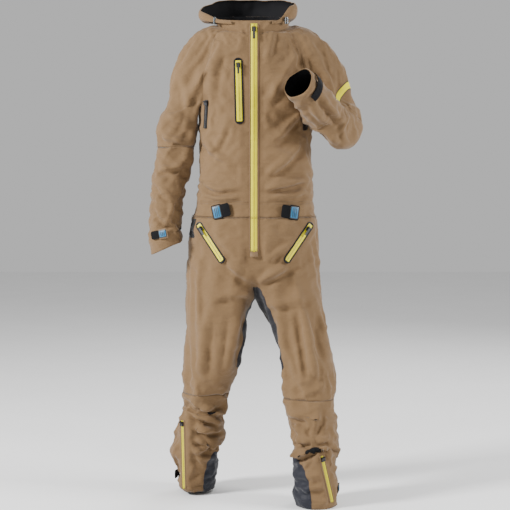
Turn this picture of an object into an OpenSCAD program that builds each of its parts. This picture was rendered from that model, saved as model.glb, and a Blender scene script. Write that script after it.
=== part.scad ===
// Hooded one-piece outdoor suit, shown filled out as worn.
// Millimetres. Z is up, the front faces -Y, the wearer's left is +X.
// The origin is the centre of the neck opening, where the suit hangs from its wearer.

/* [View] */
// which node to draw

/* [Cloth] */
// wall of the filled-out cloth
wall = 3.5; // [2:0.5:6]
// points round the torso
around = 48; // [48]
// raised trim above the cloth
trim = 1.5; // [1:0.5:3]

/* [Front zip] */
// height of the lower end of the front zip above the left hem
zip_low = 762; // [700:10:820]
// height of its upper end
zip_high = 1436; // [1400:1:1445]
// width of the front zip tape
tape_w = 20; // [14:1:28]
// width of each placket strip beside the tape
placket_w = 13; // [8:1:20]

/* [Pocket zips] */
// width of the welded pocket surround
surround_w = 28; // [20:1:36]
// width of the pocket zip tape
pocket_tape_w = 10; // [8:1:14]

/* [Zip hardware] */
// width of the coil
coil_w = 4; // [3:0.5:6]
// height of the coil above the tape
coil_h = 1.6; // [1:0.2:2.4]
// slider length along the zip
slider_l = 14; // [10:1:18]
// slider width
slider_w = 12; // [9:1:16]
// length of a puller
pull_l = 26; // [18:1:40]
// running clearance between moving pieces
gap = 1; // [0.5:0.1:2]

/* [Limbs] */
// outer radius of the sleeve at the right elbow
elbow_r_radius = 54; // [48:1:60]
// outer radius of the sleeve at the left elbow
elbow_l_radius = 48; // [44:1:52]
// outer radius of the leg at the knees
knee_radius = 72; // [66:1:78]
// slope of the cut that lets elbow and knee bend
rim_slope = 0.27; // [0.15:0.01:0.35]

/* [Hidden] */
eps = 0.01;
X = [1, 0, 0];
Y = [0, 1, 0];
Z = [0, 0, 1];

// joint centres, above the left hem
neck = [0, -2, 1436];
elbow_r = [-240, 8, 1066];
elbow_l = [266, -10, 1130];
knee_r = [-147, 20, 346];
knee_l = [166, -75, 360];
cuff_r = [-264, -30, 768];
cuff_l = [128, -185, 1253];
hood_axis = [-18, -10, 1456];

// torso and hips: height, centre x, half width, back y
torso = [[690, 0, 204, 118], [759, -1, 200, 124], [820, 0, 196, 118], [862, 2, 187, 108],
         [905, 4, 174, 98], [972, 5, 168, 98], [1064, 3, 165, 104], [1130, 3, 170, 112],
         [1205, 3, 175, 116]];
// right and left legs: height, centre x, half width, centre y, half depth
thigh_r = [[425, -130, 82, 14, 84], [451, -124, 87, 10, 90], [513, -107, 84, 6, 96],
           [604, -110, 92, 4, 106], [640, -106, 98, 3, 112]];
thigh_l = [[425, 165, 89, -66, 84], [490, 144, 80, -48, 88], [548, 138, 90, -34, 94],
           [609, 113, 95, -14, 104], [640, 108, 98, -6, 110]];
shin_r = [[10, -179, 52, 60, 62], [78, -174, 67, 56, 72], [140, -182, 77, 48, 78],
          [201, -163, 76, 40, 78], [263, -155, 70, 32, 74]];
shin_l = [[0, 187, 64, -110, 70], [111, 183, 68, -102, 76], [198, 187, 74, -94, 80],
          [286, 176, 70, -84, 76]];

split_z = 690;
waist_z = 862;
belt_z = 905;
armpit_z = 1205;
crotch_drop = 42;

// ---------- vectors, rings and skins ----------
function unit(v) = v / norm(v);
function mix(p, q, f) = p + (q - p) * f;
function mean(r) = [for (p = r) 1] * r / len(r);
function inset(r, t) = let (c = mean(r)) [for (p = r) p + unit(c - p) * t];
function morph(r, s, f) = [for (i = [0:len(r) - 1]) mix(r[i], s[i], f)];
function col(t, k) = [for (s = t) [s[0], s[k]]];
function at(t, z, k) = lookup(z, col(t, k));
function front_y(z) = z < zip_low ? lookup(z, [[split_z, -112], [zip_low, -124]])
    : -124 + (z - zip_low) * 0.0674;
function oval(c, e, f, a, b, az) = [for (w = az) c + a * cos(w) * e + b * sin(w) * f];
function pick(r, list) = [for (i = list) r[i % len(r)]];

// faces of a skin of m bands and n points a ring; closed round or an open panel
function skin_faces(m, n, closed) = let (N = (m + 1) * n, s = closed ? n : n - 1)
    concat(
        [for (k = [0:m - 1], i = [0:s - 1]) let (j = (i + 1) % n) each
            [[k * n + i, k * n + j, (k + 1) * n + j], [k * n + i, (k + 1) * n + j, (k + 1) * n + i]]],
        [for (k = [0:m - 1], i = [0:s - 1]) let (j = (i + 1) % n) each
            [[N + k * n + j, N + k * n + i, N + (k + 1) * n + i],
             [N + k * n + j, N + (k + 1) * n + i, N + (k + 1) * n + j]]],
        [for (i = [0:s - 1]) let (j = (i + 1) % n) each [[i, N + i, N + j], [i, N + j, j]]],
        [for (i = [0:s - 1]) let (a = m * n + i, b = m * n + (i + 1) % n) each
            [[b, N + b, N + a], [b, N + a, a]]],
        closed ? [] : [for (k = [0:m - 1]) let (a = k * n, b = a + n, c = a + n - 1, d = c + n) each
            [[N + a, a, b], [N + a, b, N + b], [c, N + c, N + d], [c, N + d, d]]]);

// solid between two lists of rings that run upward and counter-clockwise
module skin(outer, inner, closed = true) {
    f = skin_faces(len(outer) - 1, len(outer[0]), closed);
    polyhedron([for (r = concat(outer, inner)) each r], [for (t = f) [t[2], t[1], t[0]]], convexity = 6);
}

module panel(rings, list, t = wall, lift = 0) {
    skin([for (r = rings) pick(lift == 0 ? r : inset(r, -lift), list)],
         [for (r = rings) pick(inset(r, t), list)], false);
}

module tube(rings, t = wall) skin(rings, [for (r = rings) inset(r, t)]);

// ---------- torso and raglan rings ----------
torso_az = [for (i = [0:around - 1]) 360 * i / around];
function torso_ring(z) = let (f = front_y(z), b = at(torso, z, 3))
    oval([at(torso, z, 1), (f + b) / 2, z], X, Y, at(torso, z, 2), (b - f) / 2, torso_az);

side = 4;              // steps of the torso ring under each arm, either side of its middle
arc_n = 16;            // steps round the outside of an arm at the armpit
arm_ring = torso_ring(armpit_z);
function arm_arc(p, q, reach) = let (c = (p + q) / 2)
    [for (k = [0:arc_n]) let (w = 180 * k / arc_n) c + (p - c) * cos(w) + [reach * sin(w), 0, 0]];
arc_l = arm_arc(arm_ring[around - side], arm_ring[side], 150);
arc_r = arm_arc(arm_ring[around / 2 - side], arm_ring[around / 2 + side], -113);
// armpit ring of the raglan part, from the back of the left arm round to its front
yoke_base = concat([for (i = [side:around / 2 - side - 1]) arm_ring[i]], [for (k = [0:arc_n - 1]) arc_r[k]],
                   [for (i = [around / 2 + side:around - side - 1]) arm_ring[i]],
                   [for (k = [0:arc_n - 1]) arc_l[k]]);
back_n = around / 2 - 2 * side;
neck_a = 102;
neck_b = 78;
function neck_z(w) = 1438 - 30 * max(0, -sin(w)) + 4 * max(0, sin(w));
neck_az = concat(
    [for (i = [0:back_n - 1]) 35 + 110 * i / back_n], [for (k = [0:arc_n - 1]) 145 + 70 * k / arc_n],
    [for (i = [0:back_n - 1]) 215 + 110 * i / back_n], [for (k = [0:arc_n - 1]) 325 + 70 * k / arc_n]);
function neck_ring(grow, up) = [for (w = neck_az)
    [neck[0] + (neck_a + grow) * cos(w), neck[1] + (neck_b + grow) * sin(w), neck_z(w) + up]];
neck_base = neck_ring(0, 0);
function yoke_point(p, q, w, s) = let (v = pow(abs(cos(w)), 1.5), e = cos(w) > 0 ? 0.12 : 0,
    g = pow(sin(90 * s), 0.85 + e), f = mix(1 - cos(90 * s), g, v),
    h = mix(cos(90 * s), pow(cos(90 * s), 0.72 + e), v))
    [mix(p[0], q[0], mix(s, g, 0.75)), mix(p[1], q[1], f), mix(q[2], p[2], h)];
yoke_steps = [1, 0.88, 0.75, 0.62, 0.5, 0.37, 0.24, 0.12, 0];
yoke_rings = [for (s = yoke_steps)
    [for (i = [0:len(neck_base) - 1]) yoke_point(neck_base[i], yoke_base[i], neck_az[i], s)]];
body_z = [belt_z, 960, 1010, 1064, 1110, 1156, armpit_z];
body_rings = [for (z = body_z) torso_ring(z)];
front_mid = 3 * around / 4;
half_front = front_mid - around / 2 - side;
yoke_mid = back_n + arc_n + half_front;

module front_panel(a, b) {
    inner_body = [for (r = body_rings) inset(r, wall)];
    inner_yoke = [for (r = yoke_rings) inset(r, wall)];
    y0 = yoke_mid - front_mid;
    list = [for (i = [a:b]) i];
    up = [for (i = [a:b]) i + y0];
    n = len(body_rings) - 1;
    skin(concat([for (k = [0:n - 1]) pick(body_rings[k], list)], [for (r = yoke_rings) pick(r, up)]),
         concat([for (k = [0:n - 1]) pick(inner_body[k], list)], [for (r = inner_yoke) pick(r, up)]), false);
}

module front_right() color("tan") placed() front_panel(front_mid - half_front, front_mid);
module front_left() color("tan") placed() front_panel(front_mid, front_mid + half_front);
module back() color("tan") placed() {
    inner_body = [for (r = body_rings) inset(r, wall)];
    inner_yoke = [for (r = yoke_rings) inset(r, wall)];
    list = [for (i = [side:side + back_n]) i];
    up = [for (i = [0:back_n]) i];
    n = len(body_rings) - 1;
    skin(concat([for (k = [0:n - 1]) pick(body_rings[k], list)], [for (r = yoke_rings) pick(r, up)]),
         concat([for (k = [0:n - 1]) pick(inner_body[k], list)], [for (r = inner_yoke) pick(r, up)]), false);
}
module side_right() color("tan") placed()
    panel(body_rings, [for (i = [around / 2 - side:around / 2 + side]) i]);
module side_left() color("tan") placed() panel(body_rings, [for (i = [around - side:around + side]) i]);
module shoulder_right() color("burlywood") placed()
    panel(yoke_rings, [for (i = [back_n:back_n + arc_n]) i]);
module shoulder_left() color("burlywood") placed()
    panel(yoke_rings, [for (i = [2 * back_n + arc_n:2 * back_n + 2 * arc_n]) i]);

// ---------- waist and hips ----------
module waistband() color("peru") placed()
    tube([for (z = [waist_z, (waist_z + belt_z) / 2, belt_z]) torso_ring(z)], wall + 1);
hip_rings = [for (z = [split_z, 725, 759, 790, 820, waist_z]) torso_ring(z)];
module hip_right() color("tan") placed() panel(hip_rings, [for (i = [around / 4:3 * around / 4]) i]);
module hip_left() color("tan") placed() panel(hip_rings, [for (i = [3 * around / 4:5 * around / 4]) i]);
module back_elastic() color("dimgray") placed()
    panel([for (z = [796, 818, 840, waist_z]) torso_ring(z)], [for (i = [1:27]) i], -0.2, trim);

// ---------- legs ----------
bridge_n = 8;
function bridge(p, q) = let (c = (p + q) / 2)
    [for (k = [1:bridge_n - 1]) let (w = 180 * k / bridge_n)
        c + (p - c) * cos(w) - [0, 0, crotch_drop * sin(w)]];
hip_base = torso_ring(split_z);
base_r = concat([for (i = [around / 4:3 * around / 4]) hip_base[i]],
                bridge(hip_base[3 * around / 4], hip_base[around / 4]));
base_l = concat([for (i = [3 * around / 4:5 * around / 4]) hip_base[i % around]],
                bridge(hip_base[around / 4], hip_base[3 * around / 4]));
az_r = concat([for (i = [0:24]) 60 + 10 * i], [for (i = [1:7]) 300 + 15 * i]);
az_l = concat([for (i = [0:24]) 240 + 10 * i], [for (i = [1:7]) 120 + 15 * i]);
function leg_ring(t, z, az) = oval([at(t, z, 1), at(t, z, 3), z], X, Y, at(t, z, 2), at(t, z, 4), az);
// sloped ring beside a joint: meets its neighbour on one side and opens toward w
function rim(e, u, w, r, k, g, az) = let (p = unit(X - (X * u) * u), q = cross(u, p))
    [for (v = az) let (d = p * cos(v) * r + q * sin(v) * r) e + d + u * (g + k * (r + d * w))];
function thigh_rings(t, e, base, az) = concat(
    [rim(e, Z, Y, knee_radius, rim_slope, gap / 2, az)],
    [for (z = [428, 470, 520, 570]) leg_ring(t, z, az)],
    [morph(leg_ring(t, 618, az), base, 0.35)],
    [morph(leg_ring(t, 640, az), base, 0.72), base]);
rings_tr = thigh_rings(thigh_r, knee_r, base_r, az_r);
rings_tl = thigh_rings(thigh_l, knee_l, base_l, az_l);
module thigh_right() color("tan") placed() tube(rings_tr);
module thigh_left() color("tan") placed() tube(rings_tl);
module inner_panel_right() color("dimgray") placed()
    panel([for (k = [1:5]) rings_tr[k]], [for (i = [26:31]) i], -0.2, trim);
module inner_panel_left() color("dimgray") placed()
    panel([for (k = [0:5]) rings_tl[k]], [for (i = [26:33]) i], -0.2, trim);

leg_az = [for (i = [0:31]) 360 * i / 32];
function shin_rings(t, e) = concat([for (s = t) leg_ring(t, s[0], leg_az)],
    [oval(e - [0, 0, 46], X, Y, knee_radius, knee_radius, leg_az)],
    [[for (p = rim(e, Z, Y, knee_radius, 0, 0, leg_az))
        p - [0, 0, gap / 2 + rim_slope * (knee_radius + p[1] - e[1])]]]);
rings_sr = shin_rings(shin_r, knee_r);
rings_sl = shin_rings(shin_l, knee_l);
module shin_right() color("tan") placed() tube(rings_sr);
module shin_left() color("tan") placed() tube(rings_sl);
module ankle_guard_right() color("midnightblue") placed()
    panel([rings_sr[0], rings_sr[1], morph(rings_sr[1], rings_sr[2], 0.9)],
          [for (i = [25:33]) i], -0.2, trim);
module ankle_guard_left() color("midnightblue") placed()
    panel([rings_sl[0], morph(rings_sl[0], rings_sl[1], 0.5), rings_sl[1],
           morph(rings_sl[1], rings_sl[2], 0.5)], [for (i = [15:23]) i], -0.2, trim);

// ---------- sleeves ----------
arm_az = concat([for (i = [0:16]) 225 + 270 * i / 16], [for (i = [1:7]) 135 + 11.25 * i]);
arm_az_r = [for (a = arm_az) a - 180];
base_arm_l = concat(arc_l, [for (i = [side - 1:-1:1 - side]) arm_ring[(i + around) % around]]);
base_arm_r = concat(arc_r, [for (i = [side - 1:-1:1 - side]) arm_ring[around / 2 + i]]);
up_l = unit([-32, 22, 215]);
along_l = unit(cuff_l - elbow_l);
toward_l = unit(along_l - (along_l * up_l) * up_l);
back_l = unit(up_l - (up_l * along_l) * along_l);
hinge_l = unit(cross(along_l, up_l));
sleeve_slope = 0.67;  // cuts at the bent left elbow, sleeve side and forearm side
fore_slope = 1.1;
rim_up_r = rim(elbow_r, Z, -Y, elbow_r_radius, rim_slope, gap / 2, arm_az_r);
mid_up_r = oval([-233, 8, 1136], X, Y, 62, 58, arm_az_r);
rim_up_l = rim(elbow_l, up_l, toward_l, elbow_l_radius, sleeve_slope, 3, arm_az);
module sleeve_right() color("tan") placed()
    tube([rim_up_r, mid_up_r, morph(mid_up_r, base_arm_r, 0.5), base_arm_r]);
module sleeve_left() color("tan") placed() tube([rim_up_l, morph(rim_up_l, base_arm_l, 0.5), base_arm_l]);

fore_az = [for (i = [0:23]) 15 * i];
fore_r = [
    [for (p = oval(cuff_r, X, Y, 46, 50, fore_az)) p + [0, 0, 0.46 * (p[0] - cuff_r[0])]],
    [for (p = oval([-268, -26, 812], X, Y, 50, 54, fore_az)) p + [0, 0, 0.3 * (p[0] + 268)]],
    oval([-267, -20, 868], X, Y, 50, 54, fore_az),
    oval([-264, -12, 925], X, Y, 50, 54, fore_az),
    oval([-256, -2, 990], X, Y, 55, 56, fore_az),
    oval(elbow_r - [0, 0, 36], X, Y, elbow_r_radius, elbow_r_radius, fore_az),
    [for (p = oval(elbow_r, X, Y, elbow_r_radius, elbow_r_radius, fore_az))
        p - [0, 0, gap / 2 + rim_slope * (elbow_r_radius - p[1] + elbow_r[1])]]];
module forearm_right() color("tan") placed() tube(fore_r);
reach_l = norm(cuff_l - elbow_l);
fore_l = concat([rim(elbow_l, along_l, back_l, elbow_l_radius, fore_slope, 3 + gap, fore_az)],
    [for (s = [[113, 51], [140, 54], [190, 53], [reach_l - 22, 49], [reach_l, 47]])
        let (p = unit(X - (X * along_l) * along_l), q = cross(along_l, p))
        oval(elbow_l + s[0] * along_l, p, q, s[1], s[1], fore_az)]);
module forearm_left() color("tan") placed() tube(fore_l);

// hollow ball and sleeve stub inside a joint: d runs down the lower limb, m is the mouth direction
module aim(v) {
    a = acos(unit(v)[2]);
    rotate([0, a, atan2(v[1], v[0])]) children();
}
module gusset(e, d, m, r, stub, mouth) {
    translate(e) difference() {
        union() {
            sphere(r = r, $fn = 48);
            aim(d) cylinder(r = r - 0.5, h = stub, $fn = 48);
            aim(d) translate([0, 0, stub - 6]) cylinder(r = r + gap + 1.5, h = 6, $fn = 48);
        }
        sphere(r = r - 3, $fn = 48);
        aim(d) cylinder(r = r - 3.5, h = max(stub, r) + 1, $fn = 48);
        aim(m) cylinder(r = mouth, h = r + 20, $fn = 48);
    }
}
ball_play = wall + gap + 0.5;
module knee_right() color("dimgray") placed()
    gusset(knee_r, -Z, [0, 0.27, 1], knee_radius - ball_play, 46, 44);
module knee_left() color("dimgray") placed()
    gusset(knee_l, -Z, [0, 0.27, 1], knee_radius - ball_play, 46, 44);
module elbow_right() color("saddlebrown") placed()
    gusset(elbow_r, -Z, [0, -0.27, 1], elbow_r_radius - ball_play, 38, 32);
module elbow_left() color("saddlebrown") placed()
    gusset(elbow_l, along_l, up_l, elbow_l_radius - ball_play, 90, 34);

// ---------- collar and hood ----------
function collar_top(w) = 1460 + 14 * sin(w) + (w > 180 ? 0 : 2);
module collar() color("peru") placed() {
    low = neck_ring(-wall - 0.2, -14);
    top = [for (w = neck_az) [neck[0] - 8 + 110 * cos(w), neck[1] + 80 * sin(w), collar_top(w)]];
    mid = morph(low, top, 0.5);
    tube([low, mid, top], 3);
}
hood_w = [for (i = [0:30]) 6 * i];
// hood profile: out from the axis, up, and the tilt of the rim toward the back
function hood_ring(a, b, z, rise) = [for (w = hood_w)
    [hood_axis[0] + a * cos(w), hood_axis[1] + 6 + b * sin(w), z + rise * sin(w) + lean * cos(w)]];
lean = 5;
hood_rings = [hood_ring(130, 100, 1454, -2), hood_ring(138, 130, 1450, -12), hood_ring(144, 156, 1456, 0),
              hood_ring(148, 168, 1466, 26), hood_ring(148, 166, 1476, 48), hood_ring(143, 154, 1480, 54)];
function shrink(r, t) = let (c = hood_axis + [0, 30, 60]) [for (p = r) p + unit(c - p) * t];
module hood() color("tan") placed() skin(hood_rings, [for (r = hood_rings) shrink(r, 2.5)], false);
module hood_lining() color("black") placed()
    skin([for (r = hood_rings) shrink(r, 2.5)], [for (r = hood_rings) shrink(r, 4.5)], false);
module hang_loop() color("black") placed()
    translate([neck[0], neck[1] + 86, 1420]) difference() {
        union() {
            translate([0, 13, 0]) rotate([0, 90, 0]) cylinder(r = 10.5, h = 8, center = true, $fn = 48);
            translate([-4, -8, -6]) cube([8, 14, 12]);
        }
        translate([0, 13, 0]) rotate([0, 90, 0]) cylinder(r = 8, h = 30, center = true, $fn = 48);
    }
module cord_lock(x, y) translate([x, y, 1446]) difference() {
    union() {
        cylinder(r = 6, h = 16, center = true, $fn = 32);
        translate([0, 0, 8]) cylinder(r = 4.5, h = 4, $fn = 32);
    }
    rotate([90, 0, 0]) cylinder(r = 1.8, h = 30, center = true, $fn = 24);
}
module cord_lock_right() color("darkslategray") placed() cord_lock(-117, -49);
module cord_lock_left() color("darkslategray") placed() cord_lock(97, -55);

// ---------- zips ----------
// frame on a line from p to q: x across, y along, z outward
module on_line(p, q, out) {
    d = unit(q - p);
    n = unit(out - (out * d) * d);
    t = cross(d, n);
    multmatrix([[t[0], d[0], n[0], p[0]], [t[1], d[1], n[1], p[1]], [t[2], d[2], n[2], p[2]], [0, 0, 0, 1]])
        children();
}
tape_t = 1.2;
module tape(w, len, deep) {
    translate([-w / 2, 0, -deep]) cube([w, len, deep + tape_t]);
    translate([-coil_w / 2, 0, tape_t - eps]) cube([coil_w, len, coil_h + eps]);
}
body_h = gap + coil_h + gap + 1.6;
bar_z = tape_t + body_h + 3.4;
bar_y = slider_l / 2 - 3;
module slider(y) translate([0, y, 0]) {
    difference() {
        translate([-slider_w / 2, -slider_l / 2, tape_t + gap]) cube([slider_w, slider_l, body_h - gap]);
        translate([-coil_w / 2 - gap, -slider_l, tape_t])
            cube([coil_w + 2 * gap, 2 * slider_l, coil_h + gap]);
    }
    for (s = [-1, 1]) translate([s * 4.6 - 0.6, bar_y - 1.6, tape_t + body_h - eps])
        cube([1.2, 3.2, 4.8]);
    translate([0, bar_y, bar_z]) rotate([0, 90, 0]) cylinder(r = 0.9, h = 9, center = true, $fn = 24);
}
module pull(y, len = pull_l, w = 6) translate([0, y + bar_y, bar_z]) difference() {
    union() {
        rotate([0, 90, 0]) cylinder(r = 2.4, h = 6.4, center = true, $fn = 32);
        translate([-w / 2, -len, -0.9]) cube([w, len - 1.5, 1.8]);
    }
    rotate([0, 90, 0]) cylinder(r = 1.4, h = 9, center = true, $fn = 24);
}

front_p = [0, front_y(zip_low) - trim, zip_low];
front_q = [0, front_y(zip_high) - trim, zip_high];
front_len = norm(front_q - front_p);
module placket() color("peru") placed() on_line(front_p, front_q, -Y) {
    for (s = [-1, 1]) translate([s * (tape_w + placket_w) / 2 - placket_w / 2, 0, -3.4])
        cube([placket_w, front_len, 5.2]);
    translate([-tape_w / 2 - placket_w, -18, -3.4]) cube([tape_w + 2 * placket_w, 18, 4.6]);
}
module front_zip() color("gold") placed() on_line(front_p, front_q, -Y) tape(tape_w, front_len, 3);
front_rest = front_len - 16;
module front_slider() color("black") placed() on_line(front_p, front_q, -Y) slider(front_rest);
module front_pull() color("black") placed() on_line(front_p, front_q, -Y) pull(front_rest, 34, 7);

// welded surround with round ends, tape set in its middle
module pocket(p, q, out, w, deep) {
    len = norm(q - p);
    on_line(p, q, out) {
        translate([-w / 2, 0, -deep]) cube([w, len, deep]);
        for (y = [0, len]) translate([0, y, -deep]) cylinder(r = w / 2, h = deep, $fn = 48);
        tape(pocket_tape_w, len, 0.5);
    }
}
chest_p = [-43, -99, 1152];
chest_q = [-47, -87, 1322];
chest_rest = norm(chest_q - chest_p) - 9;
module chest_zip() color("black") placed() pocket(chest_p, chest_q, -Y, surround_w, 9);
module chest_slider() color("black") placed() on_line(chest_p, chest_q, -Y) slider(chest_rest);
module chest_pull() color("black") placed() on_line(chest_p, chest_q, -Y) pull(chest_rest, 30);

hand_rp = [-98, -114, 738];
hand_rq = [-164, -72, 836];
hand_lp = [100, -114, 738];
hand_lq = [168, -71, 836];
hand_rest = norm(hand_rq - hand_rp) - 12;
out_r = [-0.45, -1, 0];
out_l = [0.45, -1, 0];
module hand_zip_right() color("black") placed() pocket(hand_rp, hand_rq, out_r, surround_w - 4, 12);
module hand_zip_left() color("black") placed() pocket(hand_lp, hand_lq, out_l, surround_w - 4, 12);
module hand_slider_right() color("black") placed() on_line(hand_rp, hand_rq, out_r) slider(hand_rest);
module hand_slider_left() color("black") placed() on_line(hand_lp, hand_lq, out_l) slider(hand_rest);
module hand_pull_right() color("black") placed() on_line(hand_rp, hand_rq, out_r) pull(hand_rest);
module hand_pull_left() color("black") placed() on_line(hand_lp, hand_lq, out_l) pull(hand_rest);

pit_rp = [-147, -47, 1128];
pit_rq = [-142, -52, 1212];
pit_lp = [153, -47, 1122];
pit_lq = [147, -52, 1202];
pit_len = norm(pit_rq - pit_rp);
module pit_zip_right() color("black") placed() on_line(pit_rp, pit_rq, [-0.7, -1, 0]) tape(14, pit_len, 6);
module pit_zip_left() color("black") placed()
    on_line(pit_lp, pit_lq, [0.7, -1, 0]) tape(14, norm(pit_lq - pit_lp), 6);
module pit_slider_right() color("black") placed() on_line(pit_rp, pit_rq, [-0.7, -1, 0]) slider(pit_len - 9);
module pit_slider_left() color("black") placed() on_line(pit_lp, pit_lq, [0.7, -1, 0]) slider(9);

leg_rp = [-216, -12, 24];
leg_rq = [-219, -28, 238];
leg_lp = [232, -161, 20];
leg_lq = [200, -176, 160];
leg_out_r = [-0.75, -0.8, 0];
leg_out_l = [0.6, -0.9, 0];
leg_rest_r = norm(leg_rq - leg_rp) - 9;
leg_rest_l = norm(leg_lq - leg_lp) - 9;
module leg_zip_right() color("gold") placed()
    on_line(leg_rp, leg_rq, leg_out_r) tape(16, norm(leg_rq - leg_rp), 24);
module leg_zip_left() color("gold") placed()
    on_line(leg_lp, leg_lq, leg_out_l) tape(16, norm(leg_lq - leg_lp), 12);
module leg_slider_right() color("black") placed() on_line(leg_rp, leg_rq, leg_out_r) slider(leg_rest_r);
module leg_slider_left() color("black") placed() on_line(leg_lp, leg_lq, leg_out_l) slider(leg_rest_l);

// ---------- tabs ----------
// strap lying on the cloth: grows along y from its sewn end, pad near its tip
module tab(p, q, out, w) {
    len = norm(q - p);
    on_line(p, q, out) {
        difference() {
            union() {
                translate([-w / 2, 0, 0]) cube([w, len - w / 4, 2.4]);
                translate([-w / 2 + 5, len - w / 4 - 1, 0]) cube([w - 10, w / 4 + 1, 2.4]);
            }
            translate([-w / 2 - 1, 3, 1.6]) cube([w + 2, 1.2, 2]);
        }
        translate([-w / 2 + 4, 6, 2.4 - eps]) cube([w - 8, len * 0.45, 1.2]);
    }
}
waist_rp = [-124, -91, 874];
waist_rq = [-72, -114, 888];
waist_lp = [134, -88, 874];
waist_lq = [82, -113, 882];
module waist_tab_right() color("steelblue") placed() tab(waist_rp, waist_rq, [-0.45, -1, 0], 44);
module waist_tab_left() color("steelblue") placed() tab(waist_lp, waist_lq, [0.45, -1, 0], 44);
cuff_rp = [-258, -91, 816];
cuff_rq = [-308, -71, 806];
module cuff_tab_right() color("steelblue") placed() tab(cuff_rp, cuff_rq, [-0.4, -1, 0], 30);
cuff_lc = elbow_l + (reach_l - 34) * along_l;
cuff_ln = unit([0.84, -0.46, 0.29]);
cuff_lo = unit(cuff_ln - (cuff_ln * along_l) * along_l);
cuff_lt = cross(along_l, cuff_lo);
module cuff_tab_left() color("black") placed()
    tab(cuff_lc + 55 * cuff_lo - 26 * cuff_lt, cuff_lc + 55 * cuff_lo + 26 * cuff_lt, cuff_lo, 22);
ankle_rp = [-246, 44, 54];
ankle_rq = [-235, 92, 52];
ankle_lp = [250, -132, 52];
ankle_lq = [257, -84, 50];
module ankle_tab_right() color("black") placed() tab(ankle_rp, ankle_rq, [-1, 0.2, 0], 26);
module ankle_tab_left() color("black") placed() tab(ankle_lp, ankle_lq, [1, -0.1, 0], 26);

module placed() translate(-neck) children();

front_right();
front_left();
back();
side_right();
side_left();
shoulder_right();
shoulder_left();
waistband();
back_elastic();
hip_right();
hip_left();
thigh_right();
thigh_left();
inner_panel_right();
inner_panel_left();
knee_right();
knee_left();
shin_right();
shin_left();
ankle_guard_right();
ankle_guard_left();
ankle_tab_right();
ankle_tab_left();
leg_zip_right();
leg_zip_left();
leg_slider_right();
leg_slider_left();
sleeve_right();
sleeve_left();
elbow_right();
elbow_left();
forearm_right();
forearm_left();
cuff_tab_right();
cuff_tab_left();
collar();
hood();
hood_lining();
cord_lock_right();
cord_lock_left();
hang_loop();
placket();
front_zip();
front_slider();
front_pull();
chest_zip();
chest_slider();
chest_pull();
hand_zip_right();
hand_zip_left();
hand_slider_right();
hand_slider_left();
hand_pull_right();
hand_pull_left();
pit_zip_right();
pit_zip_left();
pit_slider_right();
pit_slider_left();
waist_tab_right();
waist_tab_left();
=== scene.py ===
# %% [markdown]
# # A hooded one-piece suit, cloth over a measured frame
# The frame's solids carry the joints. The cloth is built again here, from the same drafting stations, as
# one continuous skin. It is simulated over a hidden body so that it hangs and crumples, then cut into
# pieces where the elbows and knees bend.

# %% Load the frame
import bpy
import math
import numpy as np
from mathutils import Vector, Matrix, noise


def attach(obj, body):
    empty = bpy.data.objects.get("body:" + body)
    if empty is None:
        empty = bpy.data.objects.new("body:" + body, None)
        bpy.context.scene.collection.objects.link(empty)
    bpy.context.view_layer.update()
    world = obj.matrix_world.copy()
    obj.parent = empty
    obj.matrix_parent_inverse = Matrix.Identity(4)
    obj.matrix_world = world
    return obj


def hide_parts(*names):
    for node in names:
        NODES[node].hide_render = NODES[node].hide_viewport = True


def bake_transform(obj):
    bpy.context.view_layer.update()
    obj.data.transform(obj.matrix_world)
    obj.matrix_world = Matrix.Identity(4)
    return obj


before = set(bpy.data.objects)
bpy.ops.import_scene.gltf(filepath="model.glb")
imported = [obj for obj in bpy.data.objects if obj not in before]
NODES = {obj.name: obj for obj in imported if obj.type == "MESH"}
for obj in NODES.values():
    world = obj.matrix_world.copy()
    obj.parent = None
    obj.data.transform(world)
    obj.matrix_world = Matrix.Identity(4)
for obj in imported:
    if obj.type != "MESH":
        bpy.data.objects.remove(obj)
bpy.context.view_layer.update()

# %% [markdown]
# All the drafting numbers are millimetres above the left hem. The neck opening is the frame's origin,
# so one function turns a drafting point into a frame point.

# %% Units and small helpers
NECK = np.array([0.0, -2.0, 1436.0])
X, Y, Z = np.eye(3)


def metres(points):
    return (np.asarray(points, float) - NECK) / 1000.0


def unit(v):
    return v / np.linalg.norm(v)


def table(rows, z, k):
    rows = sorted(rows)
    return float(np.interp(z, [r[0] for r in rows], [r[k] for r in rows]))


def smooth(t):
    t = np.clip(t, 0.0, 1.0)
    return t * t * (3 - 2 * t)


def oval(c, e, f, a, b, az):
    w = np.radians(az)
    return np.asarray(c) + a * np.cos(w)[:, None] * e + b * np.sin(w)[:, None] * f


def mix(p, q, t):
    return p + (q - p) * t


# %% [markdown]
# The same stations that shaped the solids shape the skin: torso ovals, legs as ovals that grow out of
# the two halves of the hips, and sleeves that grow out of the raglan yoke. A torso station is (height,
# centre across, half width, back); a limb station is (height, centre across, half width, centre deep,
# half depth).

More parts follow.
